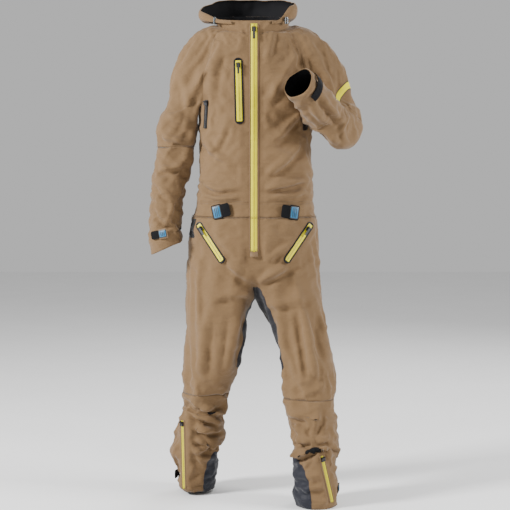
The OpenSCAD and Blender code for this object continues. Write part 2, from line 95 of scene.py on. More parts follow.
# %% Stations
TORSO = [(690, 0, 204, 118), (759, -1, 200, 124), (820, 0, 196, 118), (862, 2, 187, 108), (905, 4, 174, 98),
         (972, 5, 168, 98), (1064, 3, 165, 104), (1130, 3, 170, 112), (1205, 3, 175, 116)]
LEG_R = [(10, -179, 52, 60, 62), (78, -174, 67, 56, 72), (140, -182, 77, 48, 78), (201, -163, 76, 40, 78),
         (263, -155, 70, 32, 74), (300, -150, 71, 27, 73), (346, -147, 72, 20, 72), (385, -140, 77, 16, 77),
         (425, -130, 82, 14, 84), (451, -124, 87, 10, 90), (513, -107, 84, 6, 96), (604, -110, 92, 4, 106),
         (640, -106, 98, 3, 112)]
LEG_L = [(0, 187, 64, -110, 70), (111, 183, 68, -102, 76), (198, 187, 74, -94, 80), (286, 176, 70, -84, 76),
         (314, 168, 71, -80, 73), (360, 166, 72, -75, 72), (395, 169, 77, -71, 78), (425, 168, 80, -66, 84),
         (490, 150, 77, -48, 88), (548, 134, 88, -34, 94), (609, 114, 93, -14, 104), (640, 108, 98, -6, 110)]
ARM_R = [(768, -264, 46, -30, 50), (812, -268, 50, -26, 54), (868, -267, 50, -20, 54),
         (925, -264, 50, -12, 54), (990, -256, 55, -2, 56), (1030, -248, 54, 5, 55), (1066, -240, 54, 8, 54),
         (1100, -236, 58, 8, 56), (1136, -233, 62, 8, 58)]
ELBOW_L = np.array([266.0, -10, 1130])
CUFF_L = np.array([128.0, -185, 1253])
N = 48
TORSO_AZ = 360.0 * np.arange(N) / N


def front_y(z):
    return np.interp(z, [690, 762], [-112, -124]) if z < 762 else -124 + (z - 762) * 0.0674


def torso_ring(z):
    f, b = front_y(z), table(TORSO, z, 3)
    return oval([table(TORSO, z, 1), (f + b) / 2, z], X, Y, table(TORSO, z, 2), (b - f) / 2, TORSO_AZ)


def limb_ring(rows, z, az):
    return oval([table(rows, z, 1), table(rows, z, 3), z], X, Y, table(rows, z, 2), table(rows, z, 4), az)


# %% [markdown]
# ## The skin
# A growing list of points and quads. Each ring hands its point numbers to the next, so neighbouring
# panels share their seam points and the whole suit is one sheet of cloth.

# %% Skin builder
points, quads, part_of = [], [], []
seams = set()


def add(ring):
    first = len(points)
    points.extend(np.asarray(ring, float).tolist())
    return list(range(first, first + len(ring)))


def weave(low, high, part, closed=True):
    n = len(low)
    for i in range(n if closed else n - 1):
        j = (i + 1) % n
        quads.append((low[i], low[j], high[j], high[i]))
        part_of.append(part)


def seam_ring(ids, closed=True):
    for i in range(len(ids) if closed else len(ids) - 1):
        seams.add(frozenset((ids[i], ids[(i + 1) % len(ids)])))


def seam_column(rows, k):
    for a, b in zip(rows, rows[1:]):
        seams.add(frozenset((a[k], b[k])))


# material numbers double as part numbers until the skin is cut up
JACKET, TROUSERS, LEG_RIGHT, LEG_LEFT, ARM_RIGHT, ARM_LEFT = range(6)

hips = [add(torso_ring(z)) for z in np.linspace(690, 862, 9)]
belt = [add(torso_ring(z)) for z in (884, 905)]
trunk = [add(torso_ring(z)) for z in np.linspace(905, 1205, 15)[1:]]
body = hips + belt + trunk
for low, high in zip(hips, hips[1:]):
    weave(low, high, TROUSERS)
for low, high in zip(body[8:], body[9:]):
    weave(low, high, JACKET)
seam_ring(hips[-1])
seam_ring(belt[-1])
for k in (0, N // 2):
    seam_column(body, k)
arm_ring = np.array([points[i] for i in trunk[-1]])
print("torso rings", len(body))

# %% [markdown]
# The yoke ring follows the chest and back but leaves the torso at each armpit to run round the arm.

# %% Raglan yoke and shoulders
S, ARC = 4, 16


def arc(p, q, reach):
    w = np.pi * np.arange(1, ARC) / ARC
    c = (p + q) / 2
    return c + (p - c) * np.cos(w)[:, None] + reach * np.sin(w)[:, None] * X


REACH_L, REACH_R = 150, -113  # how far the yoke ring bulges round each arm
arc_l = add(arc(arm_ring[N - S], arm_ring[S], REACH_L))
arc_r = add(arc(arm_ring[N // 2 - S], arm_ring[N // 2 + S], REACH_R))
top = trunk[-1]
yoke_ids = ([top[i] for i in range(S, N // 2 - S + 1)] + arc_r
            + [top[i] for i in range(N // 2 + S, N - S + 1)] + arc_l)
yoke_base = np.array([points[i] for i in yoke_ids])
BACK = N // 2 - 2 * S
neck_az = np.concatenate([35 + 110 * np.arange(BACK) / BACK, 145 + 70 * np.arange(ARC) / ARC,
                          215 + 110 * np.arange(BACK) / BACK, 325 + 70 * np.arange(ARC) / ARC])
sn, cs = np.sin(np.radians(neck_az)), np.cos(np.radians(neck_az))
neck_z = 1438 - 30 * np.maximum(0, -sn) + 4 * np.maximum(0, sn)
neck_ring = np.stack([102 * cs, -2 + 78 * sn, neck_z], 1)


def yoke_ring(s):
    q = math.pi / 2 * s
    v = np.abs(cs) ** 1.5
    e = np.where(cs > 0, 0.12, 0.0)
    g = math.sin(q) ** (0.85 + e)
    f = mix(1 - math.cos(q), g, v)
    h = mix(math.cos(q), max(math.cos(q), 1e-9) ** (0.72 + e), v)
    p, b = neck_ring, yoke_base
    return np.stack([mix(p[:, 0], b[:, 0], mix(s, g, 0.75)), mix(p[:, 1], b[:, 1], f),
                     mix(b[:, 2], p[:, 2], h)], 1)


YOKE_STEPS = (0.92, 0.84, 0.76, 0.68, 0.6, 0.52, 0.44, 0.36, 0.27, 0.18, 0.09, 0)
yoke = [yoke_ids] + [add(yoke_ring(s)) for s in YOKE_STEPS]
top_ring = np.stack([-8 + 112 * cs, -2 + np.where(sn < 0, 77, 84) * sn, 1460 + 15 * sn], 1)
middle = mix(neck_ring, top_ring, 0.5) + np.stack([5 * cs, 4 * np.maximum(sn, 0), 0 * sn], 1)
collar = [yoke[-1]] + [add(ring) for ring in (mix(neck_ring, middle, 0.5), middle, mix(middle, top_ring, 0.5),
                                              top_ring)]
for low, high in zip(yoke + collar[1:], (yoke + collar[1:])[1:]):
    weave(low, high, JACKET)
for k in (0, BACK, BACK + ARC, 2 * BACK + ARC):
    seam_column(yoke, k)
seam_ring(yoke[-1])
print("yoke and collar rings", len(yoke), len(collar))

# %% [markdown]
# Each sleeve starts on its own side of the armpit: round the outside of the arm, then back along the
# torso. The left sleeve turns a sharp corner, so its rings fan out about the inside of the elbow.

# %% Sleeves
arm_az = np.concatenate([225 + 270 * np.arange(17) / 16, 135 + 11.25 * np.arange(1, 8)])
inner_l = [top[i % N] for i in range(S - 1, -S, -1)]
inner_r = [top[N // 2 + i] for i in range(S - 1, -S, -1)]
sleeve_l = [top[N - S]] + arc_l + [top[S]] + inner_l
sleeve_r = [top[N // 2 - S]] + arc_r + [top[N // 2 + S]] + inner_r
start_r = np.array([points[i] for i in sleeve_r])
ARM_TOP, YOKE_Z = 1136, 1205.0


def arm_ring_r(z):
    ring = limb_ring(ARM_R, min(z, ARM_TOP), arm_az - 180)
    ring[:, 2] = z
    if z > ARM_TOP:
        return mix(ring, start_r, float(smooth((z - ARM_TOP) / (YOKE_Z - ARM_TOP))))
    tilt = np.interp(z, [768, 812, 868], [0.46, 0.3, 0])
    ring[:, 2] += tilt * (ring[:, 0] - table(ARM_R, z, 1))
    return ring


ELBOW_CUT = 1090
rings_r = [sleeve_r] + [add(arm_ring_r(z)) for z in (1186, 1168, 1150, 1132, 1111, ELBOW_CUT)]
for high, low in zip(rings_r, rings_r[1:]):
    weave(low, high, JACKET)
fore_r = [rings_r[-1]] + [add(arm_ring_r(z)) for z in np.linspace(ELBOW_CUT, 768, 16)[1:]]
for high, low in zip(fore_r, fore_r[1:]):
    weave(low, high, ARM_RIGHT)

up_l, along_l = unit(np.array([-32.0, 22, 215])), unit(CUFF_L - ELBOW_L)
toward_l = unit(along_l - (along_l @ up_l) * up_l)
hinge_l = unit(np.cross(along_l, up_l))
reach_l = np.linalg.norm(CUFF_L - ELBOW_L)
CREASE = ELBOW_L + 80 * up_l + 46 * toward_l
LEAD = 57.0  # degrees from the seam to the outside of the bend
TURN = 180 - math.degrees(math.acos(along_l @ up_l))


def fan_ring(turn):
    t = math.radians(turn)
    o = -toward_l * math.cos(t) - up_l * math.sin(t)
    half = np.interp(turn, [0, 30, 58, 90, TURN], [75, 76, 74, 63, 52])
    return oval(CREASE + o * half, o, hinge_l, half, 53, arm_az - LEAD)


def fore_ring_l(s):
    r = np.interp(s, [80, 110, 150, 190, reach_l], [54, 57, 58, 52, 47])
    o = -unit(up_l - (up_l @ along_l) * along_l)
    return oval(ELBOW_L + s * along_l, o, hinge_l, r, r * 0.98, arm_az - LEAD)


fans = [sleeve_l] + [add(fan_ring(t)) for t in (16, 30)]
for high, low in zip(fans, fans[1:]):
    weave(low, high, JACKET)
fore_l = ([fans[-1]] + [add(fan_ring(t)) for t in (43, 56, 69, 82, 95, 107)]
          + [add(fore_ring_l(s)) for s in np.linspace(88, reach_l, 9)])
for high, low in zip(fore_l, fore_l[1:]):
    weave(low, high, ARM_LEFT)
for rows in (fore_r, fore_l):
    seam_ring(rows[-3])
seam_ring(rings_r[-1])
for rows in (rings_r, fore_r, fans, fore_l):
    seam_column(rows, 20)

# %% [markdown]
# The hips split at the crotch: half of the lowest hip ring and a dipping bridge make each leg's first
# ring.

# %% Legs
low_hip = hips[0]
bottom = np.array([points[i] for i in low_hip])
w = np.pi * np.arange(1, 8) / 8
c = (bottom[N // 4] + bottom[3 * N // 4]) / 2
CROTCH_DROP = 42
bridge = add(c + (bottom[3 * N // 4] - c) * np.cos(w)[:, None] - CROTCH_DROP * np.sin(w)[:, None] * Z)
az_r = np.concatenate([60 + 10.0 * np.arange(25), 300 + 15.0 * np.arange(1, 8)])
az_l = np.concatenate([240 + 10.0 * np.arange(25), 120 + 15.0 * np.arange(1, 8)])
base_r = [low_hip[i] for i in range(N // 4, 3 * N // 4 + 1)] + bridge
base_l = [low_hip[i % N] for i in range(3 * N // 4, 5 * N // 4 + 1)] + bridge[::-1]
KNEE_CUT_R, KNEE_CUT_L = 348.0, 354.0


def leg(base, rows, az, cut, low_z, side):
    first = np.array([points[i] for i in base])
    rings = [base] + [add(mix(limb_ring(rows, z, az), first, share))
                      for z, share in ((662, 0.84), (640, 0.66), (618, 0.32))]
    rings += [add(limb_ring(rows, z, az)) for z in np.linspace(596, cut, 12)]
    for high, low in zip(rings, rings[1:]):
        weave(low, high, TROUSERS)
    shin = [rings[-1]] + [add(limb_ring(rows, z, az)) for z in np.linspace(cut, low_z, 17)[1:]]
    for high, low in zip(shin, shin[1:]):
        weave(low, high, side)
    seam_ring(rings[-1])
    seam_ring(shin[-2])
    for k in (12, 28):
        seam_column(rings, k)
        seam_column(shin, k)
    return shin


shin_r = leg(base_r, LEG_R, az_r, KNEE_CUT_R, 10, LEG_RIGHT)
shin_l = leg(base_l, LEG_L, az_l, KNEE_CUT_L, 0, LEG_LEFT)
print("skin", len(points), "points", len(quads), "quads")

# %% [markdown]
# The quads become a mesh. Seam edges are marked before subdividing, so the marks ride along, and each
# part keeps its number as a material index.

# %% Coarse mesh to fine mesh
coarse = bpy.data.meshes.new("skin")
coarse.from_pydata(metres(points).tolist(), [], quads)
for i in range(ARM_LEFT + 1):
    coarse.materials.append(bpy.data.materials.new("part%d" % i))
coarse.polygons.foreach_set("material_index", part_of)
coarse.edges.foreach_set("use_seam", [frozenset(e.vertices) in seams for e in coarse.edges])
coarse.validate()


def link(name, mesh):
    obj = bpy.data.objects.new(name, mesh)
    bpy.context.scene.collection.objects.link(obj)
    return obj


def applied(obj):
    """Swaps in the mesh that the modifiers make, and clears them."""
    depsgraph = bpy.context.evaluated_depsgraph_get()
    mesh = bpy.data.meshes.new_from_object(obj.evaluated_get(depsgraph), preserve_all_data_layers=True,
                                           depsgraph=depsgraph)
    obj.modifiers.clear()
    obj.data = mesh
    return obj


def subdivide(obj, levels):
    mod = obj.modifiers.new("fine", "SUBSURF")
    mod.levels = mod.render_levels = levels
    mod.boundary_smooth = "PRESERVE_CORNERS"
    return applied(obj)


def coords(obj):
    co = np.empty(len(obj.data.vertices) * 3)
    obj.data.vertices.foreach_get("co", co)
    return co.reshape(-1, 3)


def normals(obj):
    no = np.empty(len(obj.data.vertices) * 3)
    obj.data.vertices.foreach_get("normal", no)
    return no.reshape(-1, 3)


def put(obj, co):
    obj.data.vertices.foreach_set("co", np.asarray(co).ravel())
    obj.data.update()


skin = subdivide(link("skin", coarse), 1)
print("skin for cloth", len(skin.data.vertices), "points")

# %% [markdown]
# ## Cloth
# The cloth is first drawn onto the lines of the zips, so that it meets their tapes. Everything that a zip,
# tab, elastic or hem holds is then pinned: it keeps its place, and only the loose cloth between may move.

# %% Pull the skin onto the zip lines
rest = coords(skin)
mm = rest * 1000 + NECK
lift = np.zeros_like(mm)
# each line: low end, high end, the way it faces, and how far round it the cloth is drawn in
ZIP_LINES = (((-216, -12, 24), (-219, -28, 238), (-0.75, -0.8, 0), 34),
             ((232, -161, 20), (200, -176, 160), (0.6, -0.9, 0), 34),
             ((-98, -113, 738), (-164, -71, 836), (-0.45, -1, 0), 30),
             ((100, -113, 738), (168, -70, 836), (0.45, -1, 0), 30),
             ((-43, -98.5, 1152), (-47, -86.5, 1322), (0, -1, 0), 30),
             ((-147, -46, 1128), (-142, -51, 1212), (-0.7, -1, 0), 20),
             ((153, -46, 1122), (147, -51, 1202), (0.7, -1, 0), 20))
for p, q, out, reach in ZIP_LINES:
    p, q = np.array(p, float), np.array(q, float)
    d = unit(q - p)
    m = unit(np.array(out) - (np.array(out) @ d) * d)
    off = mm - p
    y = off @ d
    length = np.linalg.norm(q - p)
    side = np.abs(off @ np.cross(d, m))
    beyond = np.maximum(0, np.maximum(-y, y - length))
    deep = off @ m
    w = np.exp(-((np.maximum(side - 9, 0) ** 2 + beyond ** 2) / (0.55 * reach) ** 2)) * (np.abs(deep) < 45)
    lift -= (w * deep)[:, None] * m
mm += lift
rest = (mm - NECK) / 1000
put(skin, rest)
print("pulled by up to %.1f mm" % np.linalg.norm(lift, axis=1).max())

# %% Pins
free = np.ones(len(mm))


def near_segment(p, a, b):
    a, b = np.asarray(a, float), np.asarray(b, float)
    t = np.clip((p - a) @ (b - a) / ((b - a) @ (b - a)), 0, 1)
    return np.linalg.norm(p - a - t[:, None] * (b - a), axis=1)


# low end, high end and radius of each stretch that is held
HELD = [((0, -124, 745), (0, -79, 1440), 28), ((-43, -97, 1150), (-47, -84, 1324), 26),
        ((-98, -108, 738), (-164, -66, 836), 22), ((100, -108, 738), (168, -65, 836), 22),
        ((-145, -46, 1128), (-141, -50, 1212), 14), ((152, -46, 1122), (146, -50, 1202), 14),
        ((-216, -12, 24), (-219, -28, 238), 18), ((232, -161, 20), (200, -176, 160), 16),
        ((-124, -84, 880), (-72, -108, 886), 26), ((134, -82, 880), (82, -108, 886), 26)]
for a, b, r in HELD:
    free = np.minimum(free, smooth((near_segment(mm, a, b) - r) / 18))
z = mm[:, 2]
trunk_zone = np.abs(mm[:, 0]) < 210
free = np.minimum(free, np.where(trunk_zone & (z > 640), smooth((np.abs(z - 884) - 18) / 22), 1))
free = np.minimum(free, np.where(np.abs(mm[:, 0]) < 125, smooth((1412 - z) / 26), 1))
for ring in (shin_r, shin_l, fore_r, fore_l):
    end = np.array([points[i] for i in ring[-1]])
    centre = end.mean(0)
    axis = unit(np.array([points[i] for i in ring[-4]]).mean(0) - centre)
    d = (mm - centre) @ axis
    near = (np.linalg.norm(mm - centre - d[:, None] * axis, axis=1) < 110) & (d > -40)
    free = np.where(near, np.minimum(free, smooth((d - 8) / 34)), free)
pin = 1 - free
group = skin.vertex_groups.new(name="pin")
for i, p in enumerate(pin):
    if p > 0.01:
        group.add([i], float(p), "REPLACE")
print("pinned share", round(float(pin.mean()), 3))

# %% [markdown]
# A hidden body, a little smaller than the suit, keeps the sleeves and legs filled out. A negative shrink
# makes the cloth grow by a few per cent, so it has to fold somewhere.

# %% Hidden body and cloth run
SPARE, FRAMES = 0.075, 42
inner = link("inner", skin.data.copy())
no = normals(skin)
depth = np.where(np.abs(mm[:, 0]) < 175, 4.0, 9.0)
depth = np.where(z < 640, 9.0, depth)
depth = np.where(z < 300, 12.0, depth) * (1 - 0.75 * pin)
put(inner, rest - no * (depth / 1000)[:, None])
hit = inner.modifiers.new("hit", "COLLISION")
inner.collision.thickness_outer = 0.002
inner.collision.cloth_friction = 18
cloth = skin.modifiers.new("cloth", "CLOTH")
s = cloth.settings
s.quality = 5
s.mass = 0.25
s.tension_stiffness = 18
s.compression_stiffness = 18
s.shear_stiffness = 8
s.bending_stiffness = 0.9
s.tension_damping = s.compression_damping = 12
s.bending_damping = 2
s.air_damping = 4
s.shrink_min = s.shrink_max = -SPARE
s.vertex_group_mass = "pin"
s.pin_stiffness = 1
cloth.collision_settings.use_collision = True
cloth.collision_settings.distance_min = 0.002
cloth.collision_settings.collision_quality = 2
cloth.collision_settings.use_self_collision = False
cloth.point_cache.frame_start = 1
cloth.point_cache.frame_end = FRAMES
scene = bpy.context.scene
scene.frame_start, scene.frame_end = 1, FRAMES
for f in range(1, FRAMES + 1):
    scene.frame_set(f)
    bpy.context.view_layer.update()
applied(skin)
scene.frame_set(1)
bpy.data.objects.remove(inner)
moved = np.linalg.norm(coords(skin) - rest, axis=1) * 1000
print("cloth moved mean %.1f mm, most %.1f mm" % (moved.mean(), moved.max()))

# %% [markdown]
# ## Folds drawn one by one
# A simulation gives small crumples but not the long folds that run from the shoulder to the zip or
# round the knee. Those are drawn as strokes over the front of each part: a ridge with a valley under it.
# The cloth is subdivided first, so that a fold has several edges across it.

# %% Subdivide and remember the rest places
def store(obj, name, values, kind="FLOAT"):
    data = obj.data.attributes.new(name, kind, "POINT").data
    data.foreach_set("vector" if kind == "FLOAT_VECTOR" else "value", np.asarray(values, float).ravel())


def read_vector(obj, name):
    out = np.empty(len(obj.data.vertices) * 3)
    obj.data.attributes[name].data.foreach_get("vector", out)
    return out.reshape(-1, 3)


store(skin, "rest", rest, "FLOAT_VECTOR")
subdivide(skin, 1)
place, rest = coords(skin), read_vector(skin, "rest")
mm = rest * 1000 + NECK
facing = normals(skin)
loops = np.empty(len(skin.data.loops), int)
skin.data.loops.foreach_get("vertex_index", loops)
index = np.empty(len(skin.data.polygons), int)
skin.data.polygons.foreach_get("material_index", index)
part = np.zeros(len(mm), int)
part[loops] = np.repeat(index, 4)
print("fine skin", len(mm), "points")

# %% Fold strokes
# each stroke: three points as (across, up) in mm, its half width, and its height before the gain
FOLD_GAIN = 2.0
FOLDS = {
    JACKET: [([(137, 1366), (86, 1286), (30, 1175)], 12, 5),
        ([(173, 1226), (107, 1146), (36, 1062)], 12, 5), ([(149, 1092), (89, 1033), (27, 985)], 11, 5),
        ([(-95, 1375), (-119, 1286), (-125, 1187)], 12, 3),
        ([(-152, 1128), (-119, 1062), (-42, 1021)], 11, 4),
        ([(-83, 1152), (-101, 1092), (-143, 1039)], 9, 3), ([(-152, 973), (-95, 949), (-24, 961)], 9, 5),
        ([(-149, 934), (-86, 922), (-21, 931)], 8, 4), ([(24, 949), (92, 961), (167, 985)], 9, 5),
        ([(27, 920), (107, 928), (164, 943)], 8, 4), ([(-220, 1300), (-202, 1241), (-190, 1175)], 12, 3),
        ([(-286, 1128), (-235, 1110), (-179, 1095)], 9, 7),
        ([(-280, 1062), (-238, 1071), (-190, 1083)], 8, 5),
        ([(-265, 1187), (-226, 1164), (-184, 1146)], 11, 4),
        ([(190, 1247), (238, 1199), (274, 1175)], 11, 4), ([(202, 1330), (238, 1259), (274, 1199)], 12, 4),
        ([(54, 1419), (48, 1375), (30, 1324)], 9, 3)],
    TROUSERS: [([(0, 665), (-42, 704), (-96, 740)], 11, 5), ([(-6, 638), (-57, 644), (-144, 623)], 11, 4),
        ([(9, 671), (63, 704), (144, 740)], 11, 6), ([(24, 614), (93, 620), (182, 644)], 11, 4),
        ([(24, 728), (84, 764), (138, 785)], 9, 4), ([(-117, 838), (-84, 779), (-24, 728)], 12, 3),
        ([(-42, 614), (-66, 509), (-84, 399)], 14, 5), ([(-138, 614), (-150, 495), (-161, 381)], 14, 4),
        ([(150, 614), (167, 509), (194, 399)], 14, 5), ([(78, 539), (114, 459), (147, 375)], 11, 3),
        ([(212, 614), (209, 524), (227, 459)], 11, 4)],
    LEG_RIGHT: [([(-196, 341), (-150, 310), (-86, 325)], 9, 5),
        ([(-202, 310), (-147, 292), (-74, 276)], 9, 7), ([(-205, 267), (-150, 258), (-83, 243)], 9, 6),
        ([(-190, 224), (-141, 218), (-89, 234)], 9, 7), ([(-184, 188), (-135, 175), (-80, 178)], 9, 7),
        ([(-190, 148), (-147, 157), (-104, 200)], 9, 5)],
    LEG_LEFT: [([(95, 183), (154, 177), (243, 221)], 9, 10), ([(98, 322), (151, 310), (228, 292)], 12, 4),
        ([(113, 239), (166, 230), (234, 251)], 11, 4), ([(127, 292), (130, 251), (136, 209)], 7, 4),
        ([(190, 337), (184, 286), (166, 233)], 9, 4)],
    ARM_RIGHT: [([(-290, 1039), (-254, 1024), (-205, 1048)], 9, 5),
        ([(-284, 997), (-260, 949), (-217, 906)], 11, 4), ([(-302, 912), (-266, 870), (-230, 834)], 11, 4),
        ([(-242, 942), (-251, 876), (-275, 834)], 9, 3)],
    ARM_LEFT: [([(147, 1209), (189, 1168), (236, 1132)], 9, 4),
        ([(189, 1227), (230, 1180), (283, 1127)], 9, 5), ([(289, 1174), (271, 1127), (289, 1085)], 9, 4),
        ([(200, 1127), (242, 1103), (283, 1085)], 9, 4)],
}
across = mm[:, [0, 2]]
front = smooth((-facing[:, 1] - 0.05) / 0.5)
rise = np.zeros(len(mm))
for where, strokes in FOLDS.items():
    for path, width, height in strokes:
        # bend the three points into a smooth curve
        a, b, c = (np.array(p, float) for p in path)
        t = np.linspace(0, 1, 17)[:, None]
        curve = (1 - t) ** 2 * a + 2 * t * (1 - t) * (2 * b - (a + c) / 2) + t ** 2 * c
        near = np.where((part == where) & (np.abs(across - curve.mean(0)).max(1) < 160))[0]
        q = across[near]
        best, side, along = np.full(len(q), 1e9), np.zeros(len(q)), np.zeros(len(q))
        for i, (p0, p1) in enumerate(zip(curve, curve[1:])):
            d = p1 - p0
            u = np.clip((q - p0) @ d / (d @ d), 0, 1)
            off = q - p0 - u[:, None] * d
            dist = np.linalg.norm(off, axis=1)
            closer = dist < best
            best = np.where(closer, dist, best)
            side = np.where(closer, np.sign(d[0] * off[:, 1] - d[1] * off[:, 0]) * dist, side)
            along = np.where(closer, (i + u) / 16, along)
        taper = smooth(np.minimum(along, 1 - along) / 0.3)
        sign = -1 if curve[-1][0] > curve[0][0] else 1
        x = side * sign
        profile = np.exp(-(x / width) ** 2) - 0.75 * np.exp(-((x - 1.7 * width) / (0.8 * width)) ** 2)
        rise[near] += height * FOLD_GAIN * profile * taper
hold = np.ones(len(mm))
for a, b, r in HELD:
    hold = np.minimum(hold, smooth((near_segment(mm, a, b) - r * 0.7) / 14))
place = place + facing * (rise * front * hold / 1000)[:, None]
print(sum(len(v) for v in FOLDS.values()), "strokes, up to %.1f mm" % np.abs(rise).max())

# %% [markdown]
# Fine crumple: two octaves of smooth noise and two of sharp ridges, stronger low on the legs and on the
# sleeves, none where a zip holds the cloth flat. The placket stands a little proud, and every seam pulls in.

# %% Fine crumple, placket and seams
def noise_at(p, scale):
    return np.array([noise.noise(Vector(q) * scale) for q in p])


def ridged(p, scale):
    """Smooth noise folded at its middle, which turns its zero lines into sharp ridges."""
    return 1 - 2 * np.minimum(np.abs(noise_at(p, scale)) * 2, 1)


# drag lines run down toward the middle of the body, round the limbs they lie nearly level
slope = np.where(mm[:, 2] < 560, 0.35, 0.9)
drag = np.stack([(rest[:, 2] - slope * np.abs(rest[:, 0])) * 3.2, rest[:, 0] * 0.9, rest[:, 1] * 0.9], 1)
crumple = (noise_at(rest * np.array([1, 1, 1.7]), 16) * 2.6 + noise_at(rest * np.array([1, 1, 1.4]), 42) * 1.1
           + ridged(drag, 7) * 1.9 + ridged(drag, 15) * 0.8)
limb = np.where(mm[:, 2] < 420, 1.5, np.where(np.isin(part, (ARM_RIGHT, ARM_LEFT)), 1.2, 0.8))
seam_ids = {v for e in skin.data.edges if e.use_seam for v in e.vertices}
seam_points = np.array(sorted(seam_ids))
from mathutils.kdtree import KDTree
tree = KDTree(len(seam_points))
for i in seam_points:
    tree.insert(rest[i], int(i))
tree.balance()
seam_gap = np.array([tree.find(q)[2] for q in rest]) * 1000
proud = np.where((np.abs(mm[:, 0]) < 60) & (mm[:, 1] < 0) & (mm[:, 2] > 740),
                 smooth((25 - np.abs(mm[:, 0])) / 4) * smooth((mm[:, 2] - 744) / 6), 0)
tuck = 0.5 * np.exp(-((seam_gap - 8) / 4) ** 2) - 0.6 * np.exp(-(seam_gap / 3) ** 2)
shift = crumple * limb * hold + tuck
place = place + facing * (shift / 1000)[:, None] - proud[:, None] * Y * 0.0012
put(skin, place)
store(skin, "seam_gap", seam_gap)
print("seam points", len(seam_points))

# %% [markdown]
# Other cloths are let into the shell: dark stretch panels inside the thighs, tough guards round the
# ankles, a ribbed elastic across the back of the waist and a bright band on the left sleeve. Each gets a
# signed distance in millimetres, positive inside its outline, so the shader can cut a crisp edge.

# %% Inset outlines
x, y, z = mm.T
guard = np.full(len(mm), -50.0)
for where, cx, a, b, way in ((LEG_RIGHT, -98, 62, 148, -1), (LEG_LEFT, 107, 64, 158, 1)):
    u = np.maximum(0, way * (x - cx)) / a
    r = np.sqrt(u ** 2 + (np.maximum(0, z - 2) / b) ** 2)
    guard = np.where(part == where, (1 - r) * a, guard)
edge_l = np.interp(z, [418, 440, 476, 547, 617, 650, 673], [88, 97, 90, 68, 42, 24, 6])
edge_r = np.interp(z, [425, 451, 513, 582, 640, 665], [-57, -49, -34, -26, -8, -2])
stretch = np.full(len(mm), -50.0)
stretch = np.where((part == TROUSERS) & (x > 0), np.minimum(edge_l - x, z - 418), stretch)
stretch = np.where((part == TROUSERS) & (x < 0), np.minimum(x - edge_r, z - 430), stretch)
stretch = np.where(z > 662, -50, stretch)
turn = np.degrees(np.arctan2((y + 2) / 120, (x + 2) / 200)) % 360
ribbed = np.minimum(np.minimum(z - 797, 856 - z), np.minimum(turn - 4, 206 - turn) * 3)
ribbed = np.where(part == TROUSERS, ribbed, -50)
band = np.where(np.isin(part, (JACKET, ARM_LEFT)) & (x > 225) & (z > 1212),
                8 - np.abs((x - 284) * 0.82 - (z - 1262) * 0.573), -50)
for name, values in (("guard", guard), ("stretch", stretch), ("ribbed", ribbed), ("band", band)):
    store(skin, name, values)
    print(name, int((values > 0).sum()), "points inside")

# %% [markdown]
# ## Finishes
# One small class stands for a socket, so that shader maths reads as arithmetic. Another builds a
# material and has one method for any other node.

# %% Shader helpers
class Value:
    def __init__(self, net, socket):
        self.net, self.socket = net, socket

    def maths(self, operation, other=None, flip=False):
        values = [self] if other is None else ([other, self] if flip else [self, other])
        return self.net.node("ShaderNodeMath", {"operation": operation}, *values)

    def __add__(self, other):
        return self.maths("ADD", other)

    def __sub__(self, other):
        return self.maths("SUBTRACT", other)

    def __rsub__(self, other):
        return self.maths("SUBTRACT", other, True)

    def __mul__(self, other):
        return self.maths("MULTIPLY", other)

    def __truediv__(self, other):
        return self.maths("DIVIDE", other)

    __radd__, __rmul__ = __add__, __mul__

    def clamp(self):
        return self.net.node("ShaderNodeClamp", {}, self)

    def over(self, start, width):
        """0 below start, 1 past start + width."""
        return ((self - start) / width).clamp()


def plug(net, value, socket):
    if isinstance(value, Value):
        net.links.new(value.socket, socket)
    elif value is not None:
        socket.default_value = value


class Finish:
    def __init__(self, name, colour, roughness, **constants):
        self.material = bpy.data.materials.new(name)
        self.material.use_nodes = True
        self.nodes, self.links = self.material.node_tree.nodes, self.material.node_tree.links
        self.shader = self.nodes["Principled BSDF"]
        self.material.diffuse_color = (*colour, 1)
        self.set(Base_Color=(*colour, 1), Roughness=roughness, **constants)

    def node(self, kind, settings, *values, out=0, **named):
        node = self.nodes.new(kind)
        for key, value in settings.items():
            setattr(node, key, value)
        pairs = [(node.inputs[i], v) for i, v in enumerate(values)]
        pairs += [(node.inputs[k.replace("_", " ")], v) for k, v in named.items()]
        for socket, value in pairs:
            plug(self, value, socket)
        return Value(self, node.outputs[out])

    def set(self, **named):
        for key, value in named.items():
            plug(self, value, self.shader.inputs[key.replace("_", " ")])

    def attribute(self, name, out="Fac"):
        return self.node("ShaderNodeAttribute", {"attribute_name": name}, out=out)

    def noise(self, where, scale, detail=2.0):
        return self.node("ShaderNodeTexNoise", {}, Vector=where, Scale=scale, Detail=detail)

    def stretched(self, where, scale):
        return self.node("ShaderNodeVectorMath", {"operation": "MULTIPLY"}, where, scale)

    def blend(self, factor, a, b):
        node = self.nodes.new("ShaderNodeMix")
        node.data_type = "RGBA"
        # sockets 6 and 7 are a colour mix's A and B, and 2 is its result
        for k, value in ((0, factor), (6, a), (7, b)):
            plug(self, value, node.inputs[k])
        return Value(self, node.outputs[2])

    def bump(self, height, strength, distance):
        self.set(Normal=self.node("ShaderNodeBump", {}, Height=height, Strength=strength, Distance=distance))


def rgba(r, g, b):
    return (r, g, b, 1.0)


# %% [markdown]
# The shell is a matt three-layer cloth: a fine plain weave, faintly mottled, with painted shade darkening it
# along the seams.
# The insets share its material, because one skin carries them all.

# %% Shell cloth
# the second colour is painted shade, the shadow of a seam groove, mixed in along every seam
TAN, TAN_SEAM_SHADE = rgba(0.150, 0.088, 0.039), rgba(0.075, 0.043, 0.019)
TAN_LOW, TAN_HIGH = (0.118, 0.068, 0.029), (0.184, 0.110, 0.050)
YELLOW = rgba(0.66, 0.57, 0.002)


